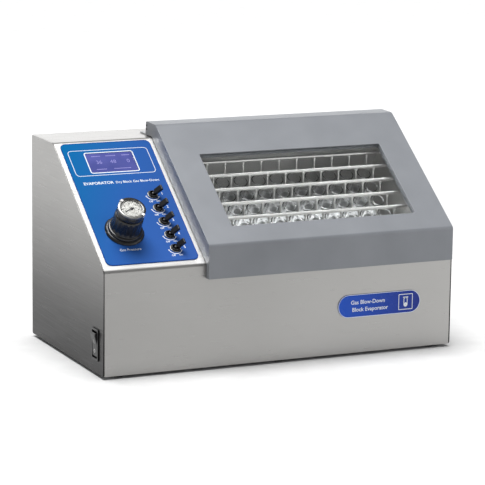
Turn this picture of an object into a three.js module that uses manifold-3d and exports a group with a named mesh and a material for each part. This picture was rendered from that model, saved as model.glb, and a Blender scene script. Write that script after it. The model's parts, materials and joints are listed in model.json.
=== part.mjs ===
// Bench-top dry-block gas blow-down evaporator: sheet-metal console and cabinet, tilted five-row
// tube block in a heated chamber, hinged glass lid that carries five nozzle bars.
// Millimetres, +Z up. Cabinet frame: X is centred on the cabinet's width, Y = 0 is the front
// face with +Y to the back, Z = 0 is the cabinet's lower edge. The finished group is moved so
// that its origin is the bottom centre of the whole object's box.
import * as THREE from 'three';
import { mergeVertices } from 'three/addons/utils/BufferGeometryUtils.js';
import Module from 'manifold-3d';

const wasm = await Module();
wasm.setup();

// ---------------------------------------------------------------- driving dimensions
const BODY_W = 635;
const BODY_D = 334;
const BODY_H = 346;
const FRONT_H = 172.5;
const SLOPE_TOP_Y = 233.6;
const SHEET = 2;
const GAP = 0.3;
const BEND_R = 4;
const HALF_W = BODY_W / 2;
const THROUGH = 8;
const PARTITION = { x0: -135.1, t: 1.5, inset: 3.2 };
const COVER_TILT = Math.atan2(BODY_H - FRONT_H, SLOPE_TOP_Y);

const LID_X0 = -139.1;
const LID_X1 = 311.5;
const SKIRT_Y = -12.1;
const SKIRT_Z0 = 149;
const SKIRT_Z1 = 204.9;
const LID_FOLD_Y = 216.9;
const LID_FOLD_Z = 370;
const LID_BACK_Y = 259.5;
const LID_BACK_Z = 370.8;
const LID_REST_GAP = 1.2;
const LID_TILT = Math.atan2(LID_FOLD_Z - SKIRT_Z1, LID_FOLD_Y - SKIRT_Y);

const WINDOW = { x0: -84.5, x1: 254.7, s0: 39.7, s1: 207.2 };
const WINDOW_CORNER = 2;
const GLASS_LAP = 9.5;
const GLASS_T = 4;
const RETAINER_T = 6;
const RETAINER_RIM = 1;
const LINER = { x0: -136.1, x1: 308.5, s0: 8, s1: 276, n0: 5.6, n1: 7.1, rim: 1 };
const GASKET = { width: 9, inset: 3, n0: 0.3, n1: 5.3 };

const ROWS = 5;
const COLUMNS = 10;
const COLUMN_PITCH = 33.62;
const ROW_PITCH = 32.6;
const COLUMNS_X = 85.6;
const BAR_DEPTH = 22.7;
const BAR_R = 3;
const FIRST_BAR_S = 75.9;
const NEEDLE_R = 1.5;
const NEEDLE_DROP = 24;
const BAR_X0 = -98;
const BAR_X1 = 267;
const FEED = { flange: 11, wall: 4, half: 7, barbRoot: 10.5, barbTip: 18, barbR: 2.6 };
const BRACKET = { drop: 8, foot: 14 };
const MANIFOLD_END = 14;

const WELL_R = 13;
const WELL_DEPTH = 110;
const WELL_OFFSET_X = -3;
const WELL_OFFSET_S = -19;
const BLOCK_TOP = 92;
const BLOCK_T = 118;
const BLOCK_X0 = -90;
const BLOCK_X1 = 255;
const BLOCK_GAP = 0.5;
const HEATER_T = 8;
const HEATER_MARGIN = 4;

const TUB = { x0: -121, x1: 295, s0: 18, s1: 256, top: 37.5, wall: 1.5 };
const CHAMBER = { x0: -117, x1: 291, s0: 31, s1: 262 };

const HINGE_Y = 264.5;
const HINGE_Z = 350.8;
const KNUCKLE_R = 4;
const PIN_R = 1.8;
const PIN_BORE_R = 2.2;
const HINGE_LENGTH = 62;
const KNUCKLE_GAP = 0.5;
const LEAF = { t: 2.2, lidT: 1.6, reach: 27, root: 5, lap: 6, lift: 0.2 };
const HINGE_XS = [LID_X0 + 34, LID_X1 - 34];

const OVERLAY = { x0: -307.5, x1: -146.5, s0: 11.5, s1: 285.5, corner: 10, t: 0.8 };
const DISPLAY = { x0: -270, x1: -186, s0: 216.5, s1: 261.2 };
const BOARD = { x0: -296, x1: -160, s0: 195, s1: 274, n0: -22, n1: -20.4, inset: 6, spacerR: 3 };
const TOGGLE_X = -181;
const TOGGLE_S0 = 38;
const TOGGLE_PITCH = 30.2;
const TOGGLE_LEAN = THREE.MathUtils.degToRad(38);
const TOGGLE_LENGTH = 20;
const TOGGLE_PIVOT = 3.2;
const TOGGLE_HOLE_R = 6.4;
const PADDLE = { width: 9.2, root: 5, tip: 4.6, start: 5.6 };
const NECK = { width: 5.2, t: 3.4, top: 7.6, ballR: 3.2 };
const VALVES = { half: 10, end: 16, n0: -34, n1: -16 };
const BUSHING = { flangeR: 7.4, flangeT: 1.6, barrelR: 6.7, barrelT: 3.6, stemR: 6 };

const REG_X = -255.5;
const REG_S = 83;
const REG_NUT_R = 33;
const REG_NUT_TOP = 6;
const REG_HOLE_R = 18.5;
const REG_NECK_R = 18;
const REG_BODY = { r: 23, depth: 58 };
const SPINDLE_R = 6;
const KNOB_FLANGE = { r0: 29, r1: 28, t: 4 };
const KNOB_BORE = { r: 19.5, depth: 6, topR: 8 };
const KNOB_TOP = 41;
const KNOB_R0 = 25;
const KNOB_R1 = 23.6;
const GAUGE_R = 22.6;
const GAUGE_TOP = 55;
const DIAL_DEPTH = 5;
const ARBOR_R = 1;
const ARBOR_BORE_R = 1.4;
const POINTER_TURN = 114;

const SWITCH_Y = 34;
const SWITCH_Z = 47.5;
const SWITCH_W = 28.5;
const SWITCH_H = 52.5;
const SWITCH_LAP = 2;
const SWITCH_CAN = { out: 2.4, in: 3.6, depth: 22, floor: 2 };
const ROCKER_GAP = { end: 6, side: 4.2 };

const BADGE_X = 179.6;
const BADGE_Z = 80.7;
const BADGE_LENGTH = 155;
const BADGE_HEIGHT = 39;
const BADGE_T = 1.2;

const FOOT_H = 5;
const FOOT_R = 9;
const FOOT_TAPER = 1;
const FOOT_XS = [-285, 0, 285];
const FOOT_YS = [17, 317];

const EXHAUST = { x: 150, z: 262, r: 25.4, wall: 1.5, length: 20, flange: 12, flangeT: 2 };
const GAS_IN = { x: -250, z: 150, holeR: 7, r: 5, boreR: 3, hexR: 9, hexT: 6, inner: 16, outer: 14 };
const POWER_IN = { x: -250, z: 60, w: 48, h: 28, faceT: 3, canW: 40, canH: 22, depth: 22 };
const POWER_WELL = { w: 24, h: 16, depth: 14 };
const SUPPLY = { x0: -300, x1: -160, y0: 110, y1: 250, h: 42 };

// ---------------------------------------------------------------- finishes
function finish(color, roughness, metalness) {
  return () => new THREE.MeshStandardMaterial({ color, roughness, metalness });
}

const satinSteel = finish(0xb9b8b4, 0.38, 0.9);
const liddedGrey = finish(0xa3a7b0, 0.5, 0.1);
const blackPlastic = finish(0x17181a, 0.45, 0);
const blackRubber = finish(0x1c1c1e, 0.85, 0);
const bluePrint = finish(0x2f66b8, 0.35, 0);
const displayGlass = finish(0x6c62b8, 0.2, 0);
const clearGlass = finish(0xdfe6e6, 0.05, 0);
const machinedAluminium = finish(0xc4c6c8, 0.45, 0.9);
const brightTube = finish(0xe4e4e2, 0.22, 0.95);
const brassFitting = finish(0xc0a060, 0.35, 0.9);
const zincSteel = finish(0x9fa2a4, 0.4, 0.9);
const boardGreen = finish(0x2c6b3f, 0.6, 0);
const pointerBlack = finish(0x111111, 0.5, 0);

// ---------------------------------------------------------------- geometry helpers
function solid(geometry) {
  const bare = geometry.clone();
  bare.deleteAttribute('normal');
  bare.deleteAttribute('uv');
  const merged = mergeVertices(bare, 1e-4);
  return new wasm.Manifold(new wasm.Mesh({
    numProp: 3,
    vertProperties: Float32Array.from(merged.attributes.position.array),
    triVerts: Uint32Array.from(merged.index.array),
  }));
}

function surface(body) {
  const mesh = body.getMesh();
  const geometry = new THREE.BufferGeometry();
  geometry.setAttribute('position', new THREE.BufferAttribute(mesh.vertProperties, 3));
  geometry.setIndex(new THREE.BufferAttribute(mesh.triVerts, 1));
  geometry.computeVertexNormals();
  return geometry;
}

function cut(geometry, tools) {
  return surface(tools.reduce((body, tool) => body.subtract(solid(tool)), solid(geometry)));
}

function join(geometries) {
  return surface(geometries.map(solid).reduce((body, next) => body.add(next)));
}

// Box between two opposite corners.
function block([x0, y0, z0], [x1, y1, z1]) {
  const geometry = new THREE.BoxGeometry(x1 - x0, y1 - y0, z1 - z0);
  return geometry.translate((x0 + x1) / 2, (y0 + y1) / 2, (z0 + z1) / 2);
}

// Cylinder or cone frustum standing on z0 and ending at z1, about the Z axis through x, y.
function post(x, y, z0, z1, r0, sides = 20, r1 = r0) {
  const geometry = new THREE.CylinderGeometry(r1, r0, z1 - z0, sides);
  return geometry.rotateX(Math.PI / 2).translate(x, y, (z0 + z1) / 2);
}

// Cylinder along X from x0 to x1 through y, z.
function rod(x0, x1, y, z, radius, sides = 12) {
  const geometry = new THREE.CylinderGeometry(radius, radius, x1 - x0, sides);
  return geometry.rotateZ(Math.PI / 2).translate((x0 + x1) / 2, y, z);
}

// Cylinder along Y from y0 to y1 through x, z.
function spigot(y0, y1, x, z, radius, sides = 16) {
  return new THREE.CylinderGeometry(radius, radius, y1 - y0, sides).translate(x, (y0 + y1) / 2, z);
}

// Share of the corner's tangent length at which a cubic curve follows a quarter circle.
const ARC_HANDLE = 0.5523;

// Closed outline through the points, each corner rounded by its own radius.
function outline(points, radii) {
  const shape = new THREE.Shape();
  points.forEach(([x, y], i) => {
    const radius = Array.isArray(radii) ? radii[i] : radii;
    const here = new THREE.Vector2(x, y);
    const before = new THREE.Vector2(...points[(i + points.length - 1) % points.length]);
    const after = new THREE.Vector2(...points[(i + 1) % points.length]);
    const start = here.clone().add(before.sub(here).setLength(radius));
    const end = here.clone().add(after.sub(here).setLength(radius));
    if (i === 0) shape.moveTo(start.x, start.y);
    else shape.lineTo(start.x, start.y);
    if (radius === 0) return;
    const leaving = start.clone().lerp(here, ARC_HANDLE);
    const arriving = end.clone().lerp(here, ARC_HANDLE);
    shape.bezierCurveTo(leaving.x, leaving.y, arriving.x, arriving.y, end.x, end.y);
  });
  shape.closePath();
  return shape;
}

function rectangle(x0, y0, x1, y1, radius) {
  return outline([[x0, y0], [x1, y0], [x1, y1], [x0, y1]], radius);
}

// Plate with an outline in X, Y between two heights.
function plate(shape, z0, z1, curveSegments = 4) {
  const options = { depth: z1 - z0, bevelEnabled: false, curveSegments };
  return new THREE.ExtrudeGeometry(shape, options).translate(0, 0, z0);
}

// Turns a plate drawn in Y, Z into one that stands between x0 and x1.
function sidePlate(shape, x0, x1, curveSegments = 3) {
  const basis = new THREE.Matrix4().makeBasis(
    new THREE.Vector3(0, 1, 0),
    new THREE.Vector3(0, 0, 1),
    new THREE.Vector3(1, 0, 0),
  );
  return plate(shape, x0, x1, curveSegments).applyMatrix4(basis);
}

// Turns a plate drawn in X, Z into one that stands between y0 and y1.
function facePlate(shape, y0, y1, curveSegments = 4) {
  const basis = new THREE.Matrix4().makeBasis(
    new THREE.Vector3(1, 0, 0),
    new THREE.Vector3(0, 0, 1),
    new THREE.Vector3(0, -1, 0),
  );
  return plate(shape, -y1, -y0, curveSegments).applyMatrix4(basis);
}

// Closed profile of a sheet bent along an outer path, its material lying on the path's right.
function bentSheet(path, thickness, radius) {
  const inner = path.map(([x, y], i) => {
    const before = path[Math.max(i - 1, 0)];
    const after = path[Math.min(i + 1, path.length - 1)];
    const here = new THREE.Vector2(x, y);
    const arrive = i > 0 ? here.clone().sub(new THREE.Vector2(...before)).normalize() : null;
    const leave = i < path.length - 1 ? new THREE.Vector2(...after).sub(here).normalize() : null;
    const a = arrive ?? leave;
    const b = leave ?? arrive;
    const middle = a.clone().add(b).normalize();
    const reach = thickness / middle.dot(b);
    return [x + middle.y * reach, y - middle.x * reach];
  });
  const ends = (i) => i === 0 || i === path.length - 1;
  const outerRadii = path.map((_, i) => (ends(i) ? 0 : radius));
  const innerRadii = path.map((_, i) => (ends(i) ? 0 : radius - thickness));
  return outline([...path, ...inner.reverse()], [...outerRadii, ...innerRadii.reverse()]);
}

// ---------------------------------------------------------------- frames and naming
const model = new THREE.Group();

const coverFrame = new THREE.Group();
coverFrame.position.set(0, 0, FRONT_H);
coverFrame.rotation.x = COVER_TILT;
model.add(coverFrame);

const lidFrame = new THREE.Group();
lidFrame.position.set(0, SKIRT_Y, SKIRT_Z1);
lidFrame.rotation.x = LID_TILT;
model.add(lidFrame);

function part(name, geometry, material, frame = model) {
  const mesh = new THREE.Mesh(geometry, material());
  mesh.name = name;
  frame.add(mesh);
  return mesh;
}

// Moves a geometry drawn in a tilted frame into the cabinet frame, for cutting upright parts.
function fromFrame(geometry, frame) {
  frame.updateMatrix();
  return geometry.applyMatrix4(frame.matrix);
}

// ---------------------------------------------------------------- cabinet
const sideOutline = () => outline(
  [[0, 0], [BODY_D, 0], [BODY_D, BODY_H], [SLOPE_TOP_Y, BODY_H], [0, FRONT_H]],
  BEND_R,
);

function addSidePanels() {
  const left = sidePlate(sideOutline(), -HALF_W, -HALF_W + SHEET);
  const opening = block(
    [-HALF_W - SHEET, ...switchCorner(-1, SWITCH_LAP)],
    [-HALF_W + 2 * SHEET, ...switchCorner(1, SWITCH_LAP)],
  );
  part('left_side_panel', cut(left, [opening]), satinSteel);
  part('right_side_panel', sidePlate(sideOutline(), HALF_W - SHEET, HALF_W), satinSteel);
}

// Tools for the console's openings: display window, regulator neck and five toggle bushings.
function consoleHoles() {
  const holes = [
    block([DISPLAY.x0, DISPLAY.s0, -THROUGH], [DISPLAY.x1, DISPLAY.s1, THROUGH]),
    post(REG_X, REG_S, -THROUGH, THROUGH, REG_HOLE_R),
  ];
  for (let i = 0; i < ROWS; i += 1) {
    holes.push(post(TOGGLE_X, toggleS(i), -THROUGH, THROUGH, TOGGLE_HOLE_R, 12));
  }
  return holes;
}

function addCover() {
  const profile = bentSheet(
    [[0, 0], [0, FRONT_H], [SLOPE_TOP_Y, BODY_H], [BODY_D - SHEET - GAP, BODY_H]],
    SHEET,
    BEND_R,
  );
  const reach = HALF_W - SHEET - GAP;
  const sheet = sidePlate(profile, -reach, reach);
  const openings = [
    block([CHAMBER.x0, CHAMBER.s0, -THROUGH], [CHAMBER.x1, CHAMBER.s1, THROUGH]),
    ...consoleHoles(),
  ];
  part('body_cover', cut(sheet, openings.map((tool) => fromFrame(tool, coverFrame))), satinSteel);
}

function addBackAndBase() {
  const reach = HALF_W - SHEET - GAP;
  const back = facePlate(rectangle(-reach, 0, reach, BODY_H, 0), BODY_D - SHEET, BODY_D);
  const openings = [
    spigot(BODY_D - THROUGH, BODY_D + THROUGH, EXHAUST.x, EXHAUST.z, EXHAUST.r - EXHAUST.wall, 24),
    spigot(BODY_D - THROUGH, BODY_D + THROUGH, GAS_IN.x, GAS_IN.z, GAS_IN.holeR, 12),
    block(
      [POWER_IN.x - POWER_IN.canW / 2 - 1, BODY_D - THROUGH, POWER_IN.z - POWER_IN.canH / 2 - 1],
      [POWER_IN.x + POWER_IN.canW / 2 + 1, BODY_D + THROUGH, POWER_IN.z + POWER_IN.canH / 2 + 1],
    ),
  ];
  part('back_panel', cut(back, openings), satinSteel);
  const base = plate(rectangle(-reach, SHEET + GAP, reach, BODY_D - SHEET - GAP, 0), 0, SHEET);
  part('base_pan', base, zincSteel);
}

function addFeet() {
  const top = -GAP / 3;
  const feet = FOOT_XS.flatMap(
    (x) => FOOT_YS.map((y) => post(x, y, -FOOT_H, top, FOOT_R - FOOT_TAPER, 14, FOOT_R)),
  );
  feet.forEach((foot, i) => {
    const name = `foot_${i % 2 ? 'rear' : 'front'}_${['left', 'middle', 'right'][Math.floor(i / 2)]}`;
    part(name, foot, blackRubber);
  });
}

function addPartition() {
  const { x0, t, inset } = PARTITION;
  const shape = outline([
    [inset, SHEET + GAP],
    [BODY_D - SHEET - GAP, SHEET + GAP],
    [BODY_D - SHEET - GAP, BODY_H - inset],
    [SLOPE_TOP_Y + 1.5, BODY_H - inset],
    [inset, FRONT_H - inset],
  ], 0);
  part('console_partition', sidePlate(shape, x0, x0 + t), zincSteel);
}

// ---------------------------------------------------------------- heated chamber
function blockRowS(row) {
  return FIRST_BAR_S + row * ROW_PITCH + WELL_OFFSET_S;
}

function columnX(column) {
  return COLUMNS_X + (column - (COLUMNS - 1) / 2) * COLUMN_PITCH;
}

function addChamber() {
  const floor = -(BLOCK_TOP + BLOCK_T + GAP + HEATER_T + GAP);
  const outer = block([TUB.x0, TUB.s0, floor - TUB.wall], [TUB.x1, TUB.s1, -TUB.top]);
  const inner = block(
    [TUB.x0 + TUB.wall, TUB.s0 + TUB.wall, floor],
    [TUB.x1 - TUB.wall, TUB.s1 - TUB.wall, 0],
  );
  part('chamber_tub', cut(outer, [inner]), satinSteel, lidFrame);
  const reach = ROW_PITCH / 2 + HEATER_MARGIN;
  const heater = block(
    [BLOCK_X0 - HEATER_MARGIN, blockRowS(0) - reach, floor + GAP / 2],
    [BLOCK_X1 + HEATER_MARGIN, blockRowS(ROWS - 1) + reach, floor + GAP / 2 + HEATER_T],
  );
  part('heater_plate', heater, machinedAluminium, lidFrame);
}

function addBlocks() {
  for (let row = 0; row < ROWS; row += 1) {
    const s = blockRowS(row);
    const half = (ROW_PITCH - BLOCK_GAP) / 2;
    const bar = block([BLOCK_X0, s - half, -(BLOCK_TOP + BLOCK_T)], [BLOCK_X1, s + half, -BLOCK_TOP]);
    const wells = [];
    for (let column = 0; column < COLUMNS; column += 1) {
      const x = columnX(column) + WELL_OFFSET_X;
      wells.push(post(x, s, -(BLOCK_TOP + WELL_DEPTH), -BLOCK_TOP + 1, WELL_R, 14));
    }
    part(`block_row_${row + 1}`, cut(bar, wells), machinedAluminium, lidFrame);
  }
}

// ---------------------------------------------------------------- lid
function lidSolid(inset, bottom) {
  const restZ = (y) => FRONT_H + y * Math.tan(COVER_TILT) + LID_REST_GAP / Math.cos(COVER_TILT);
  const drop = inset / Math.cos(LID_TILT);
  const shared = [
    [LID_BACK_Y - inset, LID_BACK_Z - inset],
    [LID_FOLD_Y + inset * Math.tan(LID_TILT / 2), LID_FOLD_Z - inset],
    [SKIRT_Y + inset, SKIRT_Z1 - drop + inset * Math.tan(LID_TILT)],
  ];
  const lower = bottom ? [[SKIRT_Y + inset, bottom], [LID_BACK_Y - inset, bottom]] : [
    [SKIRT_Y, SKIRT_Z0],
    [-LID_REST_GAP, SKIRT_Z0],
    [-LID_REST_GAP, restZ(-LID_REST_GAP)],
    [SLOPE_TOP_Y - 0.5, BODY_H + LID_REST_GAP],
    [LID_BACK_Y, BODY_H + LID_REST_GAP],
  ];
  const bend = BEND_R - inset;
  const radii = [bend, bend, bend, ...lower.map(() => 0)];
  return sidePlate(outline([...shared, ...lower], radii), LID_X0 + inset, LID_X1 - inset);
}

function windowPlate(lap, n0, n1) {
  const shape = rectangle(
    WINDOW.x0 - lap,
    WINDOW.s0 - lap,
    WINDOW.x1 + lap,
    WINDOW.s1 + lap,
    WINDOW_CORNER,
  );
  return plate(shape, n0, n1, 3);
}

function addLid() {
  const opening = fromFrame(windowPlate(0, -BEND_R * 3, BEND_R * 3), lidFrame);
  const shell = cut(lidSolid(0), [lidSolid(SHEET, SKIRT_Z0 - 40), opening]);
  part('lid_cover', shell, liddedGrey);
  const glassTop = -SHEET - GAP;
  part('window_glass', windowPlate(GLASS_LAP, glassTop - GLASS_T, glassTop), clearGlass, lidFrame);
  const retainerTop = glassTop - GLASS_T - GAP;
  const ring = cut(
    windowPlate(GLASS_LAP, retainerTop - RETAINER_T, retainerTop),
    [windowPlate(RETAINER_RIM, retainerTop - RETAINER_T - 1, retainerTop + 1)],
  );
  part('window_retainer', ring, liddedGrey, lidFrame);
}

function frameRing(outer, inner, n0, n1) {
  const full = plate(rectangle(outer[0], outer[1], outer[2], outer[3], 6), n0, n1, 3);
  return cut(full, [plate(rectangle(inner[0], inner[1], inner[2], inner[3], 4), n0 - 1, n1 + 1, 3)]);
}

// The chamber opening's corners, moved outwards on every side.
function grownChamber(margin) {
  return [CHAMBER.x0 - margin, CHAMBER.s0 - margin, CHAMBER.x1 + margin, CHAMBER.s1 + margin];
}

function addLidLiner() {
  const liner = frameRing(
    [LINER.x0, LINER.s0, LINER.x1, LINER.s1],
    grownChamber(LINER.rim),
    LINER.n0,
    LINER.n1,
  );
  part('lid_liner', liner, satinSteel, coverFrame);
  const gasket = frameRing(
    grownChamber(GASKET.inset + GASKET.width),
    grownChamber(GASKET.inset),
    GASKET.n0,
    GASKET.n1,
  );
  part('lid_gasket', gasket, blackRubber, coverFrame);
}

function addNozzleBars() {
  const needleTilt = new THREE.Matrix4().makeRotationX(-LID_TILT);
  for (let row = 0; row < ROWS; row += 1) {
    const s = FIRST_BAR_S + row * ROW_PITCH;
    const pieces = [rod(BAR_X0, BAR_X1, s, -BAR_DEPTH, BAR_R, 10)];
    for (let column = 0; column < COLUMNS; column += 1) {
      const needle = post(0, 0, -NEEDLE_DROP, 0, NEEDLE_R * 0.8, 8, NEEDLE_R);
      pieces.push(needle.applyMatrix4(needleTilt).translate(columnX(column), s, -BAR_DEPTH));
    }
    part(`nozzle_bar_${row + 1}`, join(pieces), brightTube, lidFrame);
  }
}

function barHoles(x0, x1) {
  const holes = [];
  for (let row = 0; row < ROWS; row += 1) {
    holes.push(rod(x0, x1, FIRST_BAR_S + row * ROW_PITCH, -BAR_DEPTH, BAR_R + GAP, 10));
  }
  return holes;
}

// Drilled block on the left that feeds gas from five hose barbs into the five bars.
function addFeedBlock(s0, s1, top) {
  const right = WINDOW.x0 - GLASS_LAP - 1;
  const left = BAR_X0 - FEED.flange;
  const feed = block([left, s0, -BAR_DEPTH - FEED.half], [right - 1, s1, -BAR_DEPTH + FEED.half]);
  const flange = block([left, s0, -BAR_DEPTH], [left + FEED.wall, s1, top]);
  const barbs = [];
  for (let row = 0; row < ROWS; row += 1) {
    const s = FIRST_BAR_S + row * ROW_PITCH;
    barbs.push(rod(BAR_X0 - FEED.barbTip, BAR_X0 - FEED.barbRoot, s, -BAR_DEPTH, FEED.barbR, 10));
  }
  const body = join([feed, flange, ...barbs]);
  part('gas_feed_block', cut(body, barHoles(BAR_X0 - GAP, right + 1)), machinedAluminium, lidFrame);
}

// Angle plate on the right that carries the plugged ends of the bars.
function addBarBracket(s0, s1, top) {
  const x0 = WINDOW.x1 + GLASS_LAP + 1;
  const web = block([x0, s0, -BAR_DEPTH - BRACKET.drop], [x0 + SHEET, s1, top]);
  const flange = block([x0, s0, top - SHEET], [x0 + BRACKET.foot, s1, top]);
  const bracket = cut(join([web, flange]), barHoles(x0 - 1, x0 + SHEET + 1));
  part('bar_bracket', bracket, satinSteel, lidFrame);
}

function addManifold() {
  const s0 = FIRST_BAR_S - MANIFOLD_END;
  const s1 = FIRST_BAR_S + (ROWS - 1) * ROW_PITCH + MANIFOLD_END;
  addFeedBlock(s0, s1, -SHEET - GAP);
  addBarBracket(s0, s1, -SHEET - GAP);
}

// ---------------------------------------------------------------- hinges
function knuckle(x0, x1) {
  return rod(x0, x1, HINGE_Y, HINGE_Z, KNUCKLE_R, 14);
}

// Leaf screwed to the cabinet's top, with the two outer knuckles.
function fixedLeaf(x0, x1, third) {
  const low = BODY_H + GAP;
  const high = low + LEAF.t;
  const near = HINGE_Y + LEAF.lap;
  return join([
    knuckle(x0, x0 + third),
    knuckle(x1 - third, x1),
    block([x0, HINGE_Y, low + LEAF.lift], [x0 + third, near, high]),
    block([x1 - third, HINGE_Y, low + LEAF.lift], [x1, near, high]),
    block([x0, HINGE_Y + LEAF.root, low], [x1, HINGE_Y + LEAF.reach, high]),
  ]);
}

// Leaf screwed to the lid's back, with the middle knuckle on a short bridge.
function lidLeaf(x0, x1, third) {
  const left = x0 + third + KNUCKLE_GAP;
  const right = x1 - third - KNUCKLE_GAP;
  const face = LID_BACK_Y + GAP;
  return join([
    knuckle(left, right),
    block([left, face, HINGE_Z - 1], [right, HINGE_Y, HINGE_Z + KNUCKLE_R]),
    block([x0, face, HINGE_Z + KNUCKLE_R + LEAF.lift], [x1, face + LEAF.lidT, LID_BACK_Z - 3]),
    block([left, face, HINGE_Z + 3], [right, face + LEAF.lidT, HINGE_Z + 5]),
  ]);
}

function addHinges() {
  const third = HINGE_LENGTH / 3;
  HINGE_XS.forEach((x, i) => {
    const side = i === 0 ? 'left' : 'right';
    const x0 = x - HINGE_LENGTH / 2;
    const x1 = x + HINGE_LENGTH / 2;
    const bore = rod(x0 - 1, x1 + 1, HINGE_Y, HINGE_Z, PIN_BORE_R, 12);
    part(`hinge_leaf_fixed_${side}`, cut(fixedLeaf(x0, x1, third), [bore]), zincSteel);
    part(`hinge_leaf_lid_${side}`, cut(lidLeaf(x0, x1, third), [bore]), zincSteel);
    part(`hinge_pin_${side}`, rod(x0 - 0.8, x1 + 0.8, HINGE_Y, HINGE_Z, PIN_R, 12), brightTube);
  });
}

// ---------------------------------------------------------------- console panel
function toggleS(i) {
  return TOGGLE_S0 + (ROWS - 1 - i) * TOGGLE_PITCH;
}

function addOverlay() {
  const sheet = plate(
    rectangle(OVERLAY.x0, OVERLAY.s0, OVERLAY.x1, OVERLAY.s1, OVERLAY.corner),
    GAP,
    GAP + OVERLAY.t,
    6,
  );
  part('overlay_panel', cut(sheet, consoleHoles()), bluePrint, coverFrame);
}

function addDisplay() {
  const module = block(
    [DISPLAY.x0 + GAP, DISPLAY.s0 + GAP, -9],
    [DISPLAY.x1 - GAP, DISPLAY.s1 - GAP, 0.5],
  );
  part('display_module', module, displayGlass, coverFrame);
  const board = block([BOARD.x0, BOARD.s0, BOARD.n0], [BOARD.x1, BOARD.s1, BOARD.n1]);
  const spacers = [BOARD.x0 + BOARD.inset, BOARD.x1 - BOARD.inset].flatMap(
    (x) => [BOARD.s0 + BOARD.inset, BOARD.s1 - BOARD.inset].map(
      (s) => post(x, s, BOARD.n1 - 1, -SHEET - GAP, BOARD.spacerR, 8),
    ),
  );
  part('control_board', join([board, ...spacers]), boardGreen, coverFrame);
}

function addRegulator() {
  const face = GAP + OVERLAY.t + GAP;
  const nut = cut(post(REG_X, REG_S, face, REG_NUT_TOP, REG_NUT_R, 32, REG_NUT_R - 1.5), [
    post(REG_X, REG_S, 0, REG_NUT_TOP + 1, REG_HOLE_R, 20),
  ]);
  part('regulator_nut', nut, blackPlastic, coverFrame);
  const under = -SHEET - GAP;
  const body = join([
    post(REG_X, REG_S, -REG_BODY.depth, under, REG_BODY.r, 20),
    post(REG_X, REG_S, under - 1, REG_NUT_TOP + 2, REG_NECK_R, 20),
    post(REG_X, REG_S, REG_NUT_TOP + 1, KNOB_TOP, SPINDLE_R, 12),
  ]);
  part('regulator_body', body, machinedAluminium, coverFrame);
  const low = REG_NUT_TOP + GAP;
  const knob = cut(join([
    post(REG_X, REG_S, low, low + KNOB_FLANGE.t, KNOB_FLANGE.r0, 28, KNOB_FLANGE.r1),
    post(REG_X, REG_S, low, KNOB_TOP, KNOB_R0, 28, KNOB_R1),
  ]), [
    post(REG_X, REG_S, low - 1, low + KNOB_BORE.depth, KNOB_BORE.r, 20),
    post(REG_X, REG_S, low - 1, KNOB_TOP + 1, KNOB_BORE.topR, 12),
  ]);
  part('regulator_knob', knob, blackPlastic, coverFrame);
}

function addGauge() {
  const caseBottom = KNOB_TOP + GAP;
  const dialTop = GAUGE_TOP - DIAL_DEPTH;
  const cup = cut(post(REG_X, REG_S, caseBottom, GAUGE_TOP, GAUGE_R, 28), [
    post(REG_X, REG_S, dialTop, GAUGE_TOP + 1, GAUGE_R - 1.8, 28),
    post(REG_X, REG_S, caseBottom - 1, dialTop + 1, ARBOR_BORE_R, 8),
    post(REG_X, REG_S, caseBottom - 1, caseBottom + 1.5, SPINDLE_R + 0.4, 12),
  ]);
  part('gauge_case', cup, blackPlastic, coverFrame);
  const bezel = cut(post(REG_X, REG_S, GAUGE_TOP - 2.6, GAUGE_TOP - 0.4, GAUGE_R - 2.1, 28), [
    post(REG_X, REG_S, GAUGE_TOP - 3, GAUGE_TOP + 1, GAUGE_R - 4.2, 28),
  ]);
  part('gauge_bezel', bezel, brightTube, coverFrame);
  const lens = post(REG_X, REG_S, GAUGE_TOP - 2, GAUGE_TOP - 0.8, GAUGE_R - 4.5, 28);
  part('gauge_lens', lens, clearGlass, coverFrame);
  const level = dialTop + 0.7;
  const pointer = join([
    post(REG_X, REG_S, dialTop - 2.5, level, ARBOR_R, 8),
    post(REG_X, REG_S, level - 0.3, level + 1, 2.4, 10),
    gaugePointer(level),
  ]);
  part('gauge_needle', pointer, pointerBlack, coverFrame);
}

// Slim tapered hand that points down and to the left at zero pressure.
function gaugePointer(level) {
  const hand = outline([[-1.1, -5], [1.1, -5], [0.35, 14.5], [-0.35, 14.5]], 0);
  return plate(hand, level, level + 0.6)
    .rotateZ(THREE.MathUtils.degToRad(POINTER_TURN))
    .translate(REG_X, REG_S, 0);
}

// One valve body carries the five toggle stems, each with its bushing on the panel's face.
function addToggleValves() {
  const face = GAP + OVERLAY.t + GAP;
  const s0 = TOGGLE_S0 - VALVES.end;
  const s1 = TOGGLE_S0 + (ROWS - 1) * TOGGLE_PITCH + VALVES.end;
  const feedN = (VALVES.n0 + VALVES.n1) / 2;
  const pieces = [
    block([TOGGLE_X - VALVES.half, s0, VALVES.n0], [TOGGLE_X + VALVES.half, s1, VALVES.n1]),
    rod(REG_X + REG_BODY.r + GAP, TOGGLE_X - VALVES.half + 1, REG_S, feedN, BAR_R, 10),
  ];
  const sockets = [];
  for (let i = 0; i < ROWS; i += 1) {
    const s = toggleS(i);
    pieces.push(post(TOGGLE_X, s, face, face + BUSHING.flangeT, BUSHING.flangeR, 16));
    pieces.push(post(TOGGLE_X, s, face, face + BUSHING.barrelT, BUSHING.barrelR, 16));
    pieces.push(post(TOGGLE_X, s, VALVES.n1 - 1, face + 1, BUSHING.stemR, 12));
    sockets.push(post(TOGGLE_X, s, -2.5, face + BUSHING.barrelT + 0.4, 4.9, 12, 5.6));
  }
  part('toggle_valves', cut(join(pieces), sockets), blackPlastic, coverFrame);
}

function addToggleLevers() {
  for (let i = 0; i < ROWS; i += 1) {
    part(`toggle_lever_${i + 1}`, toggleLever(toggleS(i)), blackPlastic, coverFrame);
  }
}

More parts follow.
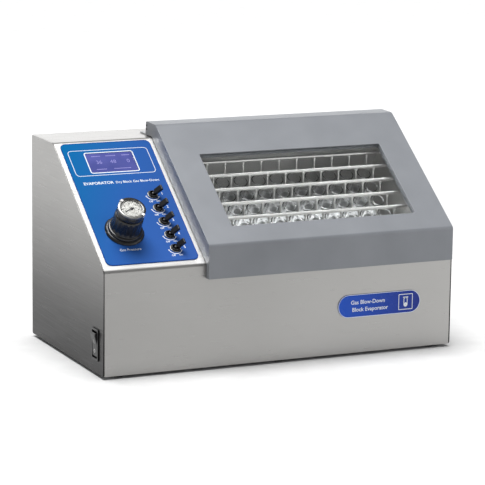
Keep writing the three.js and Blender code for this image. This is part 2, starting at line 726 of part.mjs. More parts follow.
// Paddle on a ball: broad across the swing, leaning to the right in the open position.
function toggleLever(s) {
  const paddle = outline([
    [-PADDLE.root / 2, PADDLE.start],
    [PADDLE.root / 2, PADDLE.start],
    [PADDLE.tip / 2, TOGGLE_LENGTH],
    [-PADDLE.tip / 2, TOGGLE_LENGTH],
  ], [0, 0, 1, 1]);
  const blade = plate(paddle, -PADDLE.width / 2, PADDLE.width / 2, 3).rotateX(Math.PI / 2);
  const neck = block(
    [-NECK.t / 2, -NECK.width / 2, -0.5],
    [NECK.t / 2, NECK.width / 2, NECK.top],
  );
  const ball = new THREE.SphereGeometry(NECK.ballR, 10, 8).rotateX(Math.PI / 2);
  return join([blade, neck, ball]).rotateY(TOGGLE_LEAN).translate(TOGGLE_X, s, TOGGLE_PIVOT);
}

function addPowerSupply() {
  const low = SHEET + GAP;
  const supply = block([SUPPLY.x0, SUPPLY.y0, low], [SUPPLY.x1, SUPPLY.y1, low + SUPPLY.h]);
  part('power_supply', supply, zincSteel);
}

// ---------------------------------------------------------------- power switch
// A corner of the switch's face in Y, Z, low or high, moved in from its edges.
function switchCorner(sign, inset) {
  return [SWITCH_Y + sign * (SWITCH_W / 2 - inset), SWITCH_Z + sign * (SWITCH_H / 2 - inset)];
}

function addSwitch() {
  const face = -HALF_W - GAP;
  const bezel = cut(join([
    sidePlate(
      rectangle(...switchCorner(-1, 0), ...switchCorner(1, 0), 2),
      face - 1.8,
      face,
    ),
    block(
      [face - 1, ...switchCorner(-1, SWITCH_CAN.out)],
      [face + SWITCH_CAN.depth, ...switchCorner(1, SWITCH_CAN.out)],
    ),
  ]), [
    block(
      [face - 4, ...switchCorner(-1, SWITCH_CAN.in)],
      [face + SWITCH_CAN.depth - SWITCH_CAN.floor, ...switchCorner(1, SWITCH_CAN.in)],
    ),
  ]);
  part('switch_bezel', bezel, blackPlastic);
  const halfLength = SWITCH_H / 2 - ROCKER_GAP.end;
  const rocker = outline([
    [6, -halfLength + 2],
    [1.5, -halfLength],
    [-1.2, -halfLength + 0.5],
    [-1.6, 0],
    [-5.6, halfLength - 4],
    [-4.6, halfLength],
    [6, halfLength - 2],
  ], 0);
  const halfWidth = SWITCH_W / 2 - ROCKER_GAP.side;
  const body = facePlate(rocker, -halfWidth, halfWidth).translate(face, SWITCH_Y, SWITCH_Z);
  part('power_rocker', body, blackPlastic);
}

// ---------------------------------------------------------------- badge and rear fittings
function addBadge() {
  const shape = rectangle(
    BADGE_X - BADGE_LENGTH / 2,
    BADGE_Z - BADGE_HEIGHT / 2,
    BADGE_X + BADGE_LENGTH / 2,
    BADGE_Z + BADGE_HEIGHT / 2,
    BADGE_HEIGHT / 2 - GAP,
  );
  part('front_badge', facePlate(shape, -BADGE_T - GAP, -GAP, 6), bluePrint);
}

function addExhaustCollar(y) {
  const { x, z, r, wall, length, flange, flangeT } = EXHAUST;
  const collar = cut(
    join([spigot(y, y + length, x, z, r, 28), spigot(y, y + flangeT, x, z, r + flange, 28)]),
    [spigot(y - 1, y + length + 1, x, z, r - wall, 28)],
  );
  part('exhaust_collar', collar, satinSteel);
}

function addGasInlet(y) {
  const { x, z } = GAS_IN;
  const stem = spigot(BODY_D - GAS_IN.inner, y + GAS_IN.outer, x, z, GAS_IN.r, 12);
  const hexagon = spigot(y, y + GAS_IN.hexT, x, z, GAS_IN.hexR, 6);
  const bore = spigot(y + 4, y + GAS_IN.outer + 1, x, z, GAS_IN.boreR, 10);
  part('gas_inlet_fitting', cut(join([stem, hexagon]), [bore]), brassFitting);
}

function addPowerInlet(y) {
  const { x, z, w, h, faceT, canW, canH, depth } = POWER_IN;
  const face = facePlate(rectangle(x - w / 2, z - h / 2, x + w / 2, z + h / 2, 3), y, y + faceT);
  const can = block(
    [x - canW / 2, BODY_D - depth, z - canH / 2],
    [x + canW / 2, y + 1, z + canH / 2],
  );
  const well = block(
    [x - POWER_WELL.w / 2, BODY_D - POWER_WELL.depth, z - POWER_WELL.h / 2],
    [x + POWER_WELL.w / 2, y + faceT + 1, z + POWER_WELL.h / 2],
  );
  part('power_inlet', cut(join([face, can]), [well]), blackPlastic);
}

function addRearFittings() {
  const y = BODY_D + GAP;
  addExhaustCollar(y);
  addGasInlet(y);
  addPowerInlet(y);
}

addSidePanels();
addCover();
addBackAndBase();
addFeet();
addPartition();
addChamber();
addBlocks();
addLid();
addLidLiner();
addNozzleBars();
addManifold();
addHinges();
addOverlay();
addDisplay();
addRegulator();
addGauge();
addToggleValves();
addToggleLevers();
addPowerSupply();
addSwitch();
addBadge();
addRearFittings();

model.updateMatrixWorld(true);
const extent = new THREE.Box3().setFromObject(model, true);
model.position.set(
  -(extent.min.x + extent.max.x) / 2,
  -(extent.min.y + extent.max.y) / 2,
  -extent.min.z,
);

export default model;
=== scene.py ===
import json
import math

import bmesh
import bpy
from mathutils import Matrix, Vector

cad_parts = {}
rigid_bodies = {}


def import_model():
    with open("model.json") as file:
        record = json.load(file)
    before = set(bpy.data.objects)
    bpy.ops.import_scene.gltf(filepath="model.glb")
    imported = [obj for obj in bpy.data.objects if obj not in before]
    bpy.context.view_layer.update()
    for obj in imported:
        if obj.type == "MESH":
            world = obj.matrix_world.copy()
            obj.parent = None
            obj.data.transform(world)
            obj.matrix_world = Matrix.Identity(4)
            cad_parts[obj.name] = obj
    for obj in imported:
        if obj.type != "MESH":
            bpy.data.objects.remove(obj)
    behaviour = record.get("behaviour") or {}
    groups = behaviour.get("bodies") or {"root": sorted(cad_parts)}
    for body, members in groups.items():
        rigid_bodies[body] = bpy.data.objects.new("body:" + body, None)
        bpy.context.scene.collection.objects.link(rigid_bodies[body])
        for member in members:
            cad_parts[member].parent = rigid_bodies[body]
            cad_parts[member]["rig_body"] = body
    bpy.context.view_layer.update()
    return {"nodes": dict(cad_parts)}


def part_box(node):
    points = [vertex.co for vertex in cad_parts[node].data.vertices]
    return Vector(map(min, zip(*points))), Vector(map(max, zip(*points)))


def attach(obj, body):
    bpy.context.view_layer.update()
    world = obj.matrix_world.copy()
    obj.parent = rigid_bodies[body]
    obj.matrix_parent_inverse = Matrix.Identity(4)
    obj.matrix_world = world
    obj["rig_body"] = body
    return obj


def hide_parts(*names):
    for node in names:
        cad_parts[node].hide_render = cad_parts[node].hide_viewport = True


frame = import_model()

# ---- Camera ------------------------------------------------------------------------------
# A long lens in front of the cabinet and to its left, a little above the lid, with no shift
# and no depth of field.
camera_data = bpy.data.cameras.new("camera")
camera_data.lens = 180.35
camera_data.sensor_width = 36
camera_data.clip_end = 200
camera = bpy.data.objects.new("camera", camera_data)
bpy.context.scene.collection.objects.link(camera)
VIEWPOINT = (-1.69766, -3.69600, 0.97574)
heading, dip, lean = (math.radians(a) for a in (24.762, 11.179, 0.745))
camera.matrix_world = (
    Matrix.Translation(VIEWPOINT)
    @ Matrix.Rotation(-heading, 4, "Z")
    @ Matrix.Rotation(math.pi / 2 - dip, 4, "X")
    @ Matrix.Rotation(lean, 4, "Z")
)
bpy.context.scene.camera = camera


# ---- Cabinet sheets ----------------------------------------------------------------------
# The cabinet is 2 mm stainless sheet: one folded cover for front, slope and top, two side
# plates and a back panel. It is belt-grained along the folds, and its welds are ground flush.
MM = 0.001
# Heights over which the side plates' painted shade fades out, from dark at the bench to none.
PAINTED_SHADE_SPAN = (25 * MM, 330 * MM)


def shade(code):
    """An sRGB hex colour as the linear colour that a shader takes."""
    parts = [int(code[i : i + 2], 16) / 255 for i in (1, 3, 5)]
    return [c / 12.92 if c <= 0.04045 else ((c + 0.055) / 1.055) ** 2.4 for c in parts] + [1]


def add_node(tree, kind, settings=None, inputs=None):
    """Adds a node to a tree with its settings, and with a value or a link on each named input."""
    made = tree.nodes.new(kind)
    for key, value in (settings or {}).items():
        setattr(made, key, value)
    for key, value in (inputs or {}).items():
        if isinstance(value, bpy.types.NodeSocket):
            tree.links.new(value, made.inputs[key])
        else:
            made.inputs[key].default_value = value
    return made


def new_finish(name, constants):
    """A material, its tree and its shader, with the shader's constant inputs set."""
    finish = bpy.data.materials.new(name)
    finish.use_nodes = True
    tree = finish.node_tree
    surface = next(n for n in tree.nodes if n.type == "BSDF_PRINCIPLED")
    for key, value in constants.items():
        surface.inputs[key].default_value = value
    return finish, tree, surface


def streaks(tree, spacing, detail=3):
    """Noise on Object coordinates whose spacing in mm is given for X, Y and Z."""
    place = add_node(tree, "ShaderNodeTexCoord").outputs["Object"]
    scale = [1 / (s * MM) for s in spacing]
    mapped = add_node(tree, "ShaderNodeMapping", {}, {"Vector": place, "Scale": scale})
    return add_node(
        tree,
        "ShaderNodeTexNoise",
        {},
        {"Vector": mapped.outputs[0], "Scale": 1, "Detail": detail},
    ).outputs[0]


def carried(tree, value, start, end, low=0, high=1, curve="LINEAR"):
    """A value that runs from start to end, carried to run from low to high."""
    limits = {"From Min": start, "From Max": end, "To Min": low, "To Max": high}
    return add_node(
        tree, "ShaderNodeMapRange", {"interpolation_type": curve}, {"Value": value, **limits}
    ).outputs[0]


def spread(tree, value, low, high):
    """The middle of a noise's range, 0.3 to 0.7, carried to low and high."""
    return carried(tree, value, 0.3, 0.7, low, high)


def blended(tree, share, first, second):
    """A colour between two colours or sockets, by a share from 0 to 1."""
    return add_node(
        tree, "ShaderNodeMix", {"data_type": "RGBA"}, {0: share, 6: first, 7: second}
    ).outputs[2]


def two_tone(tree, value, first, second):
    """A colour between two, by a noise's middle range."""
    return blended(tree, spread(tree, value, 0, 1), shade(first), shade(second))


def position(tree):
    """The three Object coordinates, in metres."""
    place = add_node(tree, "ShaderNodeTexCoord").outputs["Object"]
    return add_node(tree, "ShaderNodeSeparateXYZ", {}, {0: place}).outputs


def calculated(tree, operation, *values):
    """One sum of two or three values or sockets."""
    return add_node(
        tree, "ShaderNodeMath", {"operation": operation}, dict(enumerate(values))
    ).outputs[0]


def raised(tree, surface, height, strength, depth):
    """Fine relief on a finish that follows a noise, depth mm high."""
    bump = add_node(
        tree,
        "ShaderNodeBump",
        {},
        {"Height": height, "Strength": strength, "Distance": depth * MM},
    )
    tree.links.new(bump.outputs[0], surface.inputs["Normal"])


def even_metal(name, spacing, detail, tones, gloss):
    """A bare metal whose tone and gloss both follow one noise."""
    finish, tree, surface = new_finish(name, {"Metallic": 1})
    noise = streaks(tree, spacing, detail)
    tree.links.new(two_tone(tree, noise, *tones), surface.inputs["Base Color"])
    tree.links.new(spread(tree, noise, *gloss), surface.inputs["Roughness"])
    return finish


def grained_steel(
    name, grain, first="#A2A19F", second="#AAA9A7", gloss=(0.27, 0.36), base=None, metal=0.86
):
    """Stainless sheet from a 180-grit belt. Its lines, about 0.2 mm apart, are drawn 1.6 mm
    apart so that they show; they blur what the sheet mirrors along one direction. A given
    dark base colour paints shade on an upright sheet, darker towards the bench: a painted
    reflection of a dim room that the sheet would mirror there."""
    finish, tree, surface = new_finish(name, {"Metallic": metal})
    lines = streaks(tree, grain, 4)
    cloud = streaks(tree, [260, 260, 260], 1)
    colour = two_tone(tree, cloud, first, second)
    # Painted shade: the dark base colour darkens the sheet towards the bench, a painted reflection of a
    # dim room.
    if base:
        height = position(tree)[2]
        share = carried(tree, height, *PAINTED_SHADE_SPAN, curve="SMOOTHSTEP")
        colour = blended(tree, share, shade(base), colour)
    tree.links.new(colour, surface.inputs["Base Color"])
    tree.links.new(spread(tree, lines, *gloss), surface.inputs["Roughness"])
    raised(tree, surface, lines, 0.18, 0.04)
    return finish


def placed(name, data):
    """A new object in the scene."""
    made = bpy.data.objects.new(name, data)
    bpy.context.scene.collection.objects.link(made)
    return made


def fitted(name, mesh, finish, body, slot, *nodes):
    """A finished piece on its body, which stands for the CAD nodes that are named."""
    piece = placed(name, mesh)
    if finish:
        mesh.materials.clear()
        mesh.materials.append(finish)
    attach(piece, body)
    if nodes:
        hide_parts(*nodes)
    return piece


def solidified(holder):
    """The plain mesh that an object shows, after which the object is gone."""
    ready = holder.evaluated_get(bpy.context.evaluated_depsgraph_get())
    made = bpy.data.meshes.new_from_object(ready)
    for modifier in list(holder.modifiers):
        holder.modifiers.remove(modifier)
    bpy.data.objects.remove(holder)
    return made


def rounded(mesh, edge, steps=2):
    """A copy of a mesh with its sharp edges broken by edge mm and its flats shaded flat."""
    stand_in = placed("stand_in", mesh)
    mesh.shade_smooth()
    mesh.set_sharp_from_angle(angle=math.radians(50))
    bevel = stand_in.modifiers.new("bevel", "BEVEL")
    bevel.width = edge * MM
    bevel.segments = steps
    bevel.limit_method = "ANGLE"
    bevel.angle_limit = math.radians(38)
    weighted = stand_in.modifiers.new("weighted", "WEIGHTED_NORMAL")
    weighted.keep_sharp = True
    return solidified(stand_in)


def dressed(node, name, finish, slot, edge=0.35, steps=2):
    """A copy of a CAD node with its faces welded and its edges broken, in that node's place."""
    source = frame["nodes"][node]
    shell = bmesh.new()
    shell.from_mesh(source.data)
    bmesh.ops.remove_doubles(shell, verts=shell.verts, dist=0.002 * MM)
    bmesh.ops.dissolve_limit(
        shell, angle_limit=math.radians(0.6), verts=shell.verts, edges=shell.edges
    )
    mesh = bpy.data.meshes.new(name)
    shell.to_mesh(mesh)
    shell.free()
    return fitted(name, rounded(mesh, edge, steps), finish, source["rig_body"], slot, node)


steel_front = grained_steel("stainless_grained_across", [70, 1.6, 1.6])
# The side plates carry painted shade: darker towards the bench, a painted reflection of a dim room.
side_steel_painted_shade = grained_steel("stainless_side_painted_shade", [1.6, 70, 1.6], base="#202020")
cover_low, cover_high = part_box("body_cover")
CABINET_X = 2.95 * MM
TO_METRES = Matrix.Scale(MM, 4)
CONSOLE_FOOT = cover_low.z + 172.5 * MM
SLOPE_FOOT = CONSOLE_FOOT + 0.7 * MM
SLOPE_HEAD = cover_high.z - 1.2 * MM


def painted_slope_reflection(finish):
    """A painted reflection: the console's slope is painted nearly white, standing in for the bright
    lamps that it would mirror.
    """
    tree = finish.node_tree
    surface = next(n for n in tree.nodes if n.type == "BSDF_PRINCIPLED")
    grey = surface.inputs["Base Color"].links[0].from_socket
    height = position(tree)[2]
    above = calculated(tree, "GREATER_THAN", height, SLOPE_FOOT)
    below = calculated(tree, "LESS_THAN", height, SLOPE_HEAD)
    both = calculated(tree, "MULTIPLY", above, below)
    # The near-white colour on the slope is a painted reflection of bright lamps.
    tree.links.new(blended(tree, both, grey, shade("#DEDDDB")), surface.inputs["Base Color"])
    return finish


# The cover's slope carries a painted reflection, nearly white.
cover_steel_painted_reflection = painted_slope_reflection(grained_steel("stainless_cover_painted_reflection", [70, 1.6, 1.6]))
dressed("body_cover", "cabinet_cover", cover_steel_painted_reflection, "satin_stainless")
dressed("left_side_panel", "cabinet_side_left", side_steel_painted_shade, "satin_stainless")
dressed("right_side_panel", "cabinet_side_right", side_steel_painted_shade, "satin_stainless")
dressed("back_panel", "cabinet_back", steel_front, "satin_stainless")


# ---- Base pan and what stands on it ------------------------------------------------------
# Zinc-plated sheet closes the cabinet's floor, carries the power supply and divides the
# console from the heated chamber. Nobody sees it without turning the cabinet over.
def repaint(node, finish):
    """Gives an untouched CAD node its finish."""
    for place in frame["nodes"][node].material_slots:
        place.link = "OBJECT"
        place.material = finish


def zinc_plate():
    """Zinc-plated steel: a cool grey with soft spangle patches 12 mm wide."""
    tones = ("#9FA3A6", "#B7BABC")
    return even_metal("zinc_plated_sheet", [12, 12, 12], 2, tones, (0.34, 0.48))


zinc = zinc_plate()
for hidden in ("base_pan", "console_partition", "power_supply"):
    repaint(hidden, zinc)


# ---- Feet --------------------------------------------------------------------------------
# Six moulded rubber feet, each a low cone with a rolled edge and a recess for its screw,
# screwed up into the base pan.
def eased(points, radius, steps=3, closed=True):
    """A path with each corner turned through an arc of that radius."""
    result = []
    count = len(points)
    for i, point in enumerate(points):
        here = Vector(point)
        if not closed and i in (0, count - 1):
            result.append(here)
            continue
        before = Vector(points[i - 1]) - here
        after = Vector(points[(i + 1) % count]) - here
        reach = min(radius, before.length * 0.499, after.length * 0.499)
        start = here + before.normalized() * reach
        end = here + after.normalized() * reach
        weight = math.sin(before.angle(after) / 2)
        for k in range(steps + 1):
            t = k / steps
            a, b, c = (1 - t) ** 2, 2 * t * (1 - t) * weight, t**2
            result.append((start * a + here * b + end * c) / (a + b + c))
    return result


def skin(loops, ring=False):
    """A closed mesh through loops of equally many points. A ring joins the last loop to the
    first; otherwise both ends are capped."""
    shell = bmesh.new()
    rows = [[shell.verts.new(p) for p in loop] for loop in loops]
    pairs = list(zip(rows, rows[1:])) + ([(rows[-1], rows[0])] if ring else [])
    for a, b in pairs:
        for i in range(len(a)):
            j = (i + 1) % len(a)
            shell.faces.new((a[i], a[j], b[j], b[i]))
    if not ring:
        shell.faces.new(rows[0][::-1])
        shell.faces.new(rows[-1])
    bmesh.ops.recalc_face_normals(shell, faces=shell.faces)
    mesh = bpy.data.meshes.new("skin")
    shell.to_mesh(mesh)
    shell.free()
    mesh.shade_smooth()
    mesh.set_sharp_from_angle(angle=math.radians(34))
    return mesh


def lathe(profile, sides=48, ring=False, lobes=None):
    """Turns (radius, height) points about Z. Lobes give a radius change at an angle and height."""
    loops = []
    for radius, height in profile:
        loop = []
        for i in range(sides):
            angle = math.tau * i / sides
            r = radius + (lobes(angle, height) if lobes else 0)
            loop.append((r * math.cos(angle), r * math.sin(angle), height))
        loops.append(loop)
    return skin(loops, ring)


def joined(meshes):
    """One mesh of several, which are then gone."""
    shell = bmesh.new()
    for mesh in meshes:
        shell.from_mesh(mesh)
        bpy.data.meshes.remove(mesh)
    whole = bpy.data.meshes.new("joined")
    shell.to_mesh(whole)
    shell.free()
    return whole


def moved(mesh, matrix):
    """A mesh carried by a matrix."""
    mesh.transform(matrix)
    return mesh


def put(x, y, z):
    return Matrix.Translation((x, y, z))


def tree_with(name, inputs):
    """A geometry tree with its group input and named sockets."""
    tree = bpy.data.node_groups.new(name, "GeometryNodeTree")
    tree.interface.new_socket("Geometry", in_out="INPUT", socket_type="NodeSocketGeometry")
    for label, kind in inputs.items():
        tree.interface.new_socket(label, in_out="INPUT", socket_type=f"NodeSocket{kind}")
    tree.interface.new_socket("Geometry", in_out="OUTPUT", socket_type="NodeSocketGeometry")
    return tree, tree.nodes.new("NodeGroupInput").outputs


def end_tree(tree, instances, finish):
    """Makes the copies real, gives them their finish and sends them out."""
    real = add_node(tree, "GeometryNodeRealizeInstances", {}, {"Geometry": instances})
    dressed_up = add_node(
        tree, "GeometryNodeSetMaterial", {}, {"Geometry": real.outputs[0], "Material": finish}
    )
    add_node(tree, "NodeGroupOutput", {}, {"Geometry": dressed_up.outputs[0]})
    return tree


def copies_at_points_tree():
    """One piece, turned one way, at each vertex of the mesh that holds the modifier."""
    tree, given = tree_with(
        "copies_at_points", {"Piece": "Object", "Turn": "Rotation", "Finish": "Material"}
    )
    piece = add_node(tree, "GeometryNodeObjectInfo", {}, {"Object": given["Piece"]})
    copies = add_node(
        tree,
        "GeometryNodeInstanceOnPoints",
        {},
        {"Points": given["Geometry"], "Instance": piece.outputs["Geometry"], "Rotation": given["Turn"]},
    )
    return end_tree(tree, copies.outputs[0], given["Finish"])


def grown(tree, mesh, values):
    """The plain mesh that a geometry tree makes of a mesh, with its named inputs set."""
    holder = placed("holder", mesh)
    grow = holder.modifiers.new("grow", "NODES")
    grow.node_group = tree
    for item in tree.interface.items_tree:
        if item.in_out == "INPUT" and item.name in values:
            grow[item.identifier] = values[item.name]
    return solidified(holder)


at_points = copies_at_points_tree()


def repeated(piece_mesh, points, finish, turn=(0, 0, 0)):
    """Copies of a small mesh at points in the row frame, all turned by the same angles."""
    piece = placed("repeat", piece_mesh)
    spots = bpy.data.meshes.new("spots")
    spots.from_pydata([tuple(p) for p in points], [], [])
    made = grown(at_points, spots, {"Piece": piece, "Turn": turn, "Finish": finish})
    bpy.data.objects.remove(piece)
    return made


def moulded(name, colour, second, roughness, grain, depth=0.03):
    """A moulded polymer or rubber skin: a spark-eroded mould leaves a fine pebble on it."""
    finish, tree, surface = new_finish(name, {"IOR": 1.5})
    pebble = streaks(tree, [grain] * 3, 2)
    wear = streaks(tree, [25, 25, 25], 2)
    tree.links.new(two_tone(tree, wear, colour, second), surface.inputs["Base Color"])
    tree.links.new(
        spread(tree, wear, roughness - 0.05, roughness + 0.06), surface.inputs["Roughness"]
    )
    raised(tree, surface, pebble, 0.35, depth)
    return finish


def middle(node):
    """The middle of a CAD node's box."""
    low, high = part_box(node)
    return (low + high) / 2


rubber = moulded("black_moulded_rubber", "#1D1D1F", "#262628", 0.8, 0.8, 0.06)
foot_names = [
    f"foot_{end}_{side}" for end in ("front", "rear") for side in ("left", "middle", "right")
]
foot_points = []
for foot in foot_names:
    foot_points.append((middle(foot).x, middle(foot).y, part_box(foot)[0].z))
foot_profile = eased([(3.2, 1.6), (3.2, 0), (8, 0), (9, 4.85), (3.2, 4.85)], 0.8, 3, False)
foot_mesh = moved(lathe(foot_profile, 32), TO_METRES)
fitted("feet", repeated(foot_mesh, foot_points, rubber), None, "root", "rubber", *foot_names)


# ---- Heated chamber ----------------------------------------------------------------------
# A welded stainless tub hangs under the slope. On its floor lie a cast heater plate and five
# machined aluminium blocks, each bored for ten sample tubes and tilted with the lid.
def machined_aluminium():
    """Milled and clear-anodised aluminium. The cutter's rows are drawn 2.5 mm apart, and the
    anodic film scatters light, so it is a silky pale grey and only partly metallic."""
    finish, tree, surface = new_finish("milled_anodised_aluminium", {"Metallic": 0.4})
    rows = streaks(tree, [40, 2.5, 40], 3)
    cloud = streaks(tree, [60, 60, 60], 2)
    tree.links.new(two_tone(tree, cloud, "#D8DADB", "#ECEDEE"), surface.inputs["Base Color"])
    tree.links.new(spread(tree, rows, 0.34, 0.5), surface.inputs["Roughness"])
    raised(tree, surface, rows, 0.2, 0.05)
    return finish


chamber_steel = grained_steel(
    "stainless_chamber_wall", [60, 3.2, 3.2], "#D2D1CE", "#F4F3F1", (0.5, 0.62), None, 0.3
)
aluminium = machined_aluminium()
dressed("chamber_tub", "tub", chamber_steel, "satin_stainless")
repaint("heater_plate", aluminium)
for row in range(1, 6):
    dressed(f"block_row_{row}", f"sample_block_{row}", aluminium, "machined_aluminium", 0.5)


# ---- Sample tubes ------------------------------------------------------------------------
# Fifty borosilicate test tubes, 24 mm across and 148 mm long, drawn from tubing with a
# rounded bottom and a fire-polished, slightly thicker lip. They stand loose in the wells.
TILT = math.radians(35.79)
lid_low, lid_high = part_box("lid_cover")
lid_plane = (
    put(CABINET_X, lid_low.y, 209.9 * MM) @ Matrix.Rotation(TILT, 4, "X") @ TO_METRES
)


def copies_on_grid_tree():
    """The mesh that holds the modifier, repeated on a flat grid of columns and rows."""
    tree, given = tree_with(
        "copies_on_grid",
        {
            "Columns": "Int",
            "Rows": "Int",
            "Column Pitch": "Float",
            "Row Pitch": "Float",
            "Finish": "Material",
        },
    )
    spans = []
    for count, pitch in (("Columns", "Column Pitch"), ("Rows", "Row Pitch")):
        gaps = calculated(tree, "SUBTRACT", given[count], 1)
        spans.append(calculated(tree, "MULTIPLY", gaps, given[pitch]))
    grid = add_node(
        tree,
        "GeometryNodeMeshGrid",
        {},
        {
            "Size X": spans[0],
            "Size Y": spans[1],
            "Vertices X": given["Columns"],
            "Vertices Y": given["Rows"],
        },
    )
    copies = add_node(
        tree,
        "GeometryNodeInstanceOnPoints",
        {},
        {"Points": grid.outputs["Mesh"], "Instance": given["Geometry"]},
    )
    return end_tree(tree, copies.outputs[0], given["Finish"])


on_grid = copies_on_grid_tree()
COLUMN_PITCH = 33.62
ROW_PITCH = 32.6
MIDDLE_X = 85.6
MIDDLE_S = 75.9 + 2 * ROW_PITCH


def gridded(mesh, rows, columns, finish):
    """A mesh in mm repeated on the wells' grid."""
    return grown(
        on_grid,
        mesh,
        {
            "Columns": columns,
            "Rows": rows,
            "Column Pitch": COLUMN_PITCH,
            "Row Pitch": ROW_PITCH,
            "Finish": finish,
        },
    )


def clear_glass(name, tint, roughness):
    """Clear glass. Lamps shine through it, so what is inside it is lit."""
    finish, tree, surface = new_finish(
        name, {"IOR": 1.47, "Transmission Weight": 1, "Base Color": shade(tint)}
    )
    smears = streaks(tree, [18, 40, 18], 2)
    tree.links.new(spread(tree, smears, 0, roughness), surface.inputs["Roughness"])
    lamp = add_node(tree, "ShaderNodeLightPath").outputs["Is Shadow Ray"]
    through = add_node(
        tree, "ShaderNodeBsdfTransparent", {}, {"Color": shade(tint)}
    ).outputs[0]
    mix = add_node(
        tree, "ShaderNodeMixShader", {}, {0: lamp, 1: surface.outputs[0], 2: through}
    )
    output = next(n for n in tree.nodes if n.type == "OUTPUT_MATERIAL")
    tree.links.new(mix.outputs[0], output.inputs["Surface"])
    return finish


def test_tube():
    """One tube in mm, standing on Z with its lip at the top."""
    shoulder = -136
    outside, bore = 11.9, 10.6

    def hemisphere(radius):
        turns = [math.pi / 12 * k for k in range(1, 6)]
        return [(radius * math.cos(a), shoulder - radius * math.sin(a)) for a in turns]

    lip = [(outside, 0), (12.5, -0.9), (12.3, -2.2), (outside, -3.4), (outside, shoulder)]
    bottom = [(0.05, shoulder - outside), (0.05, shoulder - bore)]
    mouth = [(bore, shoulder), (bore, -3), (10.9, -0.6)]
    path = lip + hemisphere(outside) + bottom + hemisphere(bore)[::-1] + mouth
    return lathe(path, 28, True)


tube_glass = clear_glass("borosilicate_tube", "#FEFEFE", 0.02)
tubes = moved(gridded(test_tube(), 5, 10, tube_glass), put(MIDDLE_X - 3, MIDDLE_S - 19, -52.2))
fitted("sample_tubes", moved(tubes, lid_plane), None, "root", "clear_glass")


# ---- Lid ---------------------------------------------------------------------------------
# A welded sheet-steel hood in smooth grey baked enamel, with a deep front skirt, and a
# window of 4 mm toughened glass that a steel frame clamps from below.
def baked_enamel():
    """Epoxy enamel sprayed and baked: an even satin grey with a faint orange-peel 4 mm wide
    and a very fine metallic fleck."""
    finish, tree, surface = new_finish("grey_baked_enamel", {"Metallic": 0.25, "IOR": 1.5})
    peel = streaks(tree, [4, 4, 4], 2)
    cloud = streaks(tree, [90, 90, 90], 2)
    tree.links.new(two_tone(tree, cloud, "#787B80", "#808388"), surface.inputs["Base Color"])
    tree.links.new(spread(tree, peel, 0.4, 0.48), surface.inputs["Roughness"])
    bump = add_node(
        tree, "ShaderNodeBump", {}, {"Height": peel, "Strength": 0.12, "Distance": 0.05 * MM}
    )
    tree.links.new(bump.outputs[0], surface.inputs["Normal"])
    return finish


enamel = baked_enamel()
dressed("lid_cover", "lid_hood", enamel, "lid_enamel", 0.5, 3)
dressed("window_retainer", "window_frame", enamel, "lid_enamel")
dressed("lid_liner", "lid_rim", chamber_steel, "satin_stainless")
toughened = clear_glass("toughened_window", "#FAFBFB", 0.01)
dressed("window_glass", "window", toughened, "clear_glass", 0.6)
silicone = moulded("silicone_seal", "#303134", "#3A3B3F", 0.7, 1.2)
dressed("lid_gasket", "door_seal", silicone, "rubber", 1.1, 3)


# ---- Nozzle bars -------------------------------------------------------------------------
# Five drawn stainless tubes, 6 mm across, each brazed with ten short needles that point
# straight down into the tubes. Their left ends take gas; their right ends are plugged.
BAR_R = 3
BAR_DEPTH = -22.7


def drawn_tube():
    """Bright-drawn stainless tube: pale metal with fine die lines along its length."""
    tones = ("#CFCECC", "#DBDAD8")
    return even_metal("bright_drawn_stainless", [60, 1.2, 1.2], 2, tones, (0.38, 0.48))


def nozzle_bar():
    """One bar in mm along X, with a collar at the feed end and a necked plug at the other."""
    profile = eased(
        [
            (2.2, -98), (3.4, -98), (3.4, -92), (BAR_R, -91.5), (BAR_R, 247),
            (2.2, 254), (1.6, 262), (1.6, 266.5), (0.6, 266.9),
        ],
        0.5,
        2,
        False,
    )
    return moved(lathe(profile, 20), Matrix.Rotation(math.pi / 2, 4, "Y"))


def needle():
    """One needle in mm: a brazed hub and fillet, then a slim tube cut square at its tip."""
    profile = [
        (0.8, -24), (1.25, -24), (1.35, -23.6), (1.5, -8), (1.6, -6.4), (2.5, -5.6),
        (2.7, -3.4), (2.3, 0), (1.2, 0.6),
    ]
    return moved(lathe(profile, 12), Matrix.Rotation(-TILT, 4, "X"))


bright = drawn_tube()
bars = moved(gridded(nozzle_bar(), 5, 1, bright), put(0, MIDDLE_S, BAR_DEPTH))
needles = moved(gridded(needle(), 5, 10, bright), put(MIDDLE_X, MIDDLE_S, BAR_DEPTH))
bar_nodes = [f"nozzle_bar_{row}" for row in range(1, 6)]
bar_mesh = moved(joined([bars, needles]), lid_plane)
bar_mesh.shade_smooth()
bar_mesh.set_sharp_from_angle(angle=math.radians(40))
fitted("nozzle_bars", bar_mesh, bright, "lid", "bright_tube", *bar_nodes)


# ---- Feed block and bracket --------------------------------------------------------------
# A drilled aluminium block with five hose barbs feeds the bars at the left; a bent steel
# bracket holds their plugged ends at the right, each clamped by a small socket screw.
def cap_screw(radius, height):
    """One socket-head screw in mm on Z, with its hexagon socket sunk in the head."""
    profile = [
        (radius * 0.9, 0), (radius, 0.12 * height), (radius, 0.85 * height),
        (radius * 0.88, height), (radius * 0.52, height), (radius * 0.5, 0.45 * height),
        (0.02, 0.45 * height),
    ]
    return lathe(profile, 18)


dressed("gas_feed_block", "feed_block", aluminium, "machined_aluminium", 0.4)
dressed("bar_bracket", "bracket", bright, "satin_stainless", 0.3)
FIRST_S = MIDDLE_S - 2 * ROW_PITCH
clamp_points = [lid_plane @ Vector((-100, FIRST_S + row * ROW_PITCH, -15.7)) for row in range(5)]
clamp_mesh = moved(cap_screw(3.2, 1.9), TO_METRES)
clamps = repeated(clamp_mesh, clamp_points, bright, (TILT, 0, 0))
fitted("feed_screws", clamps, None, "lid", "bright_tube")


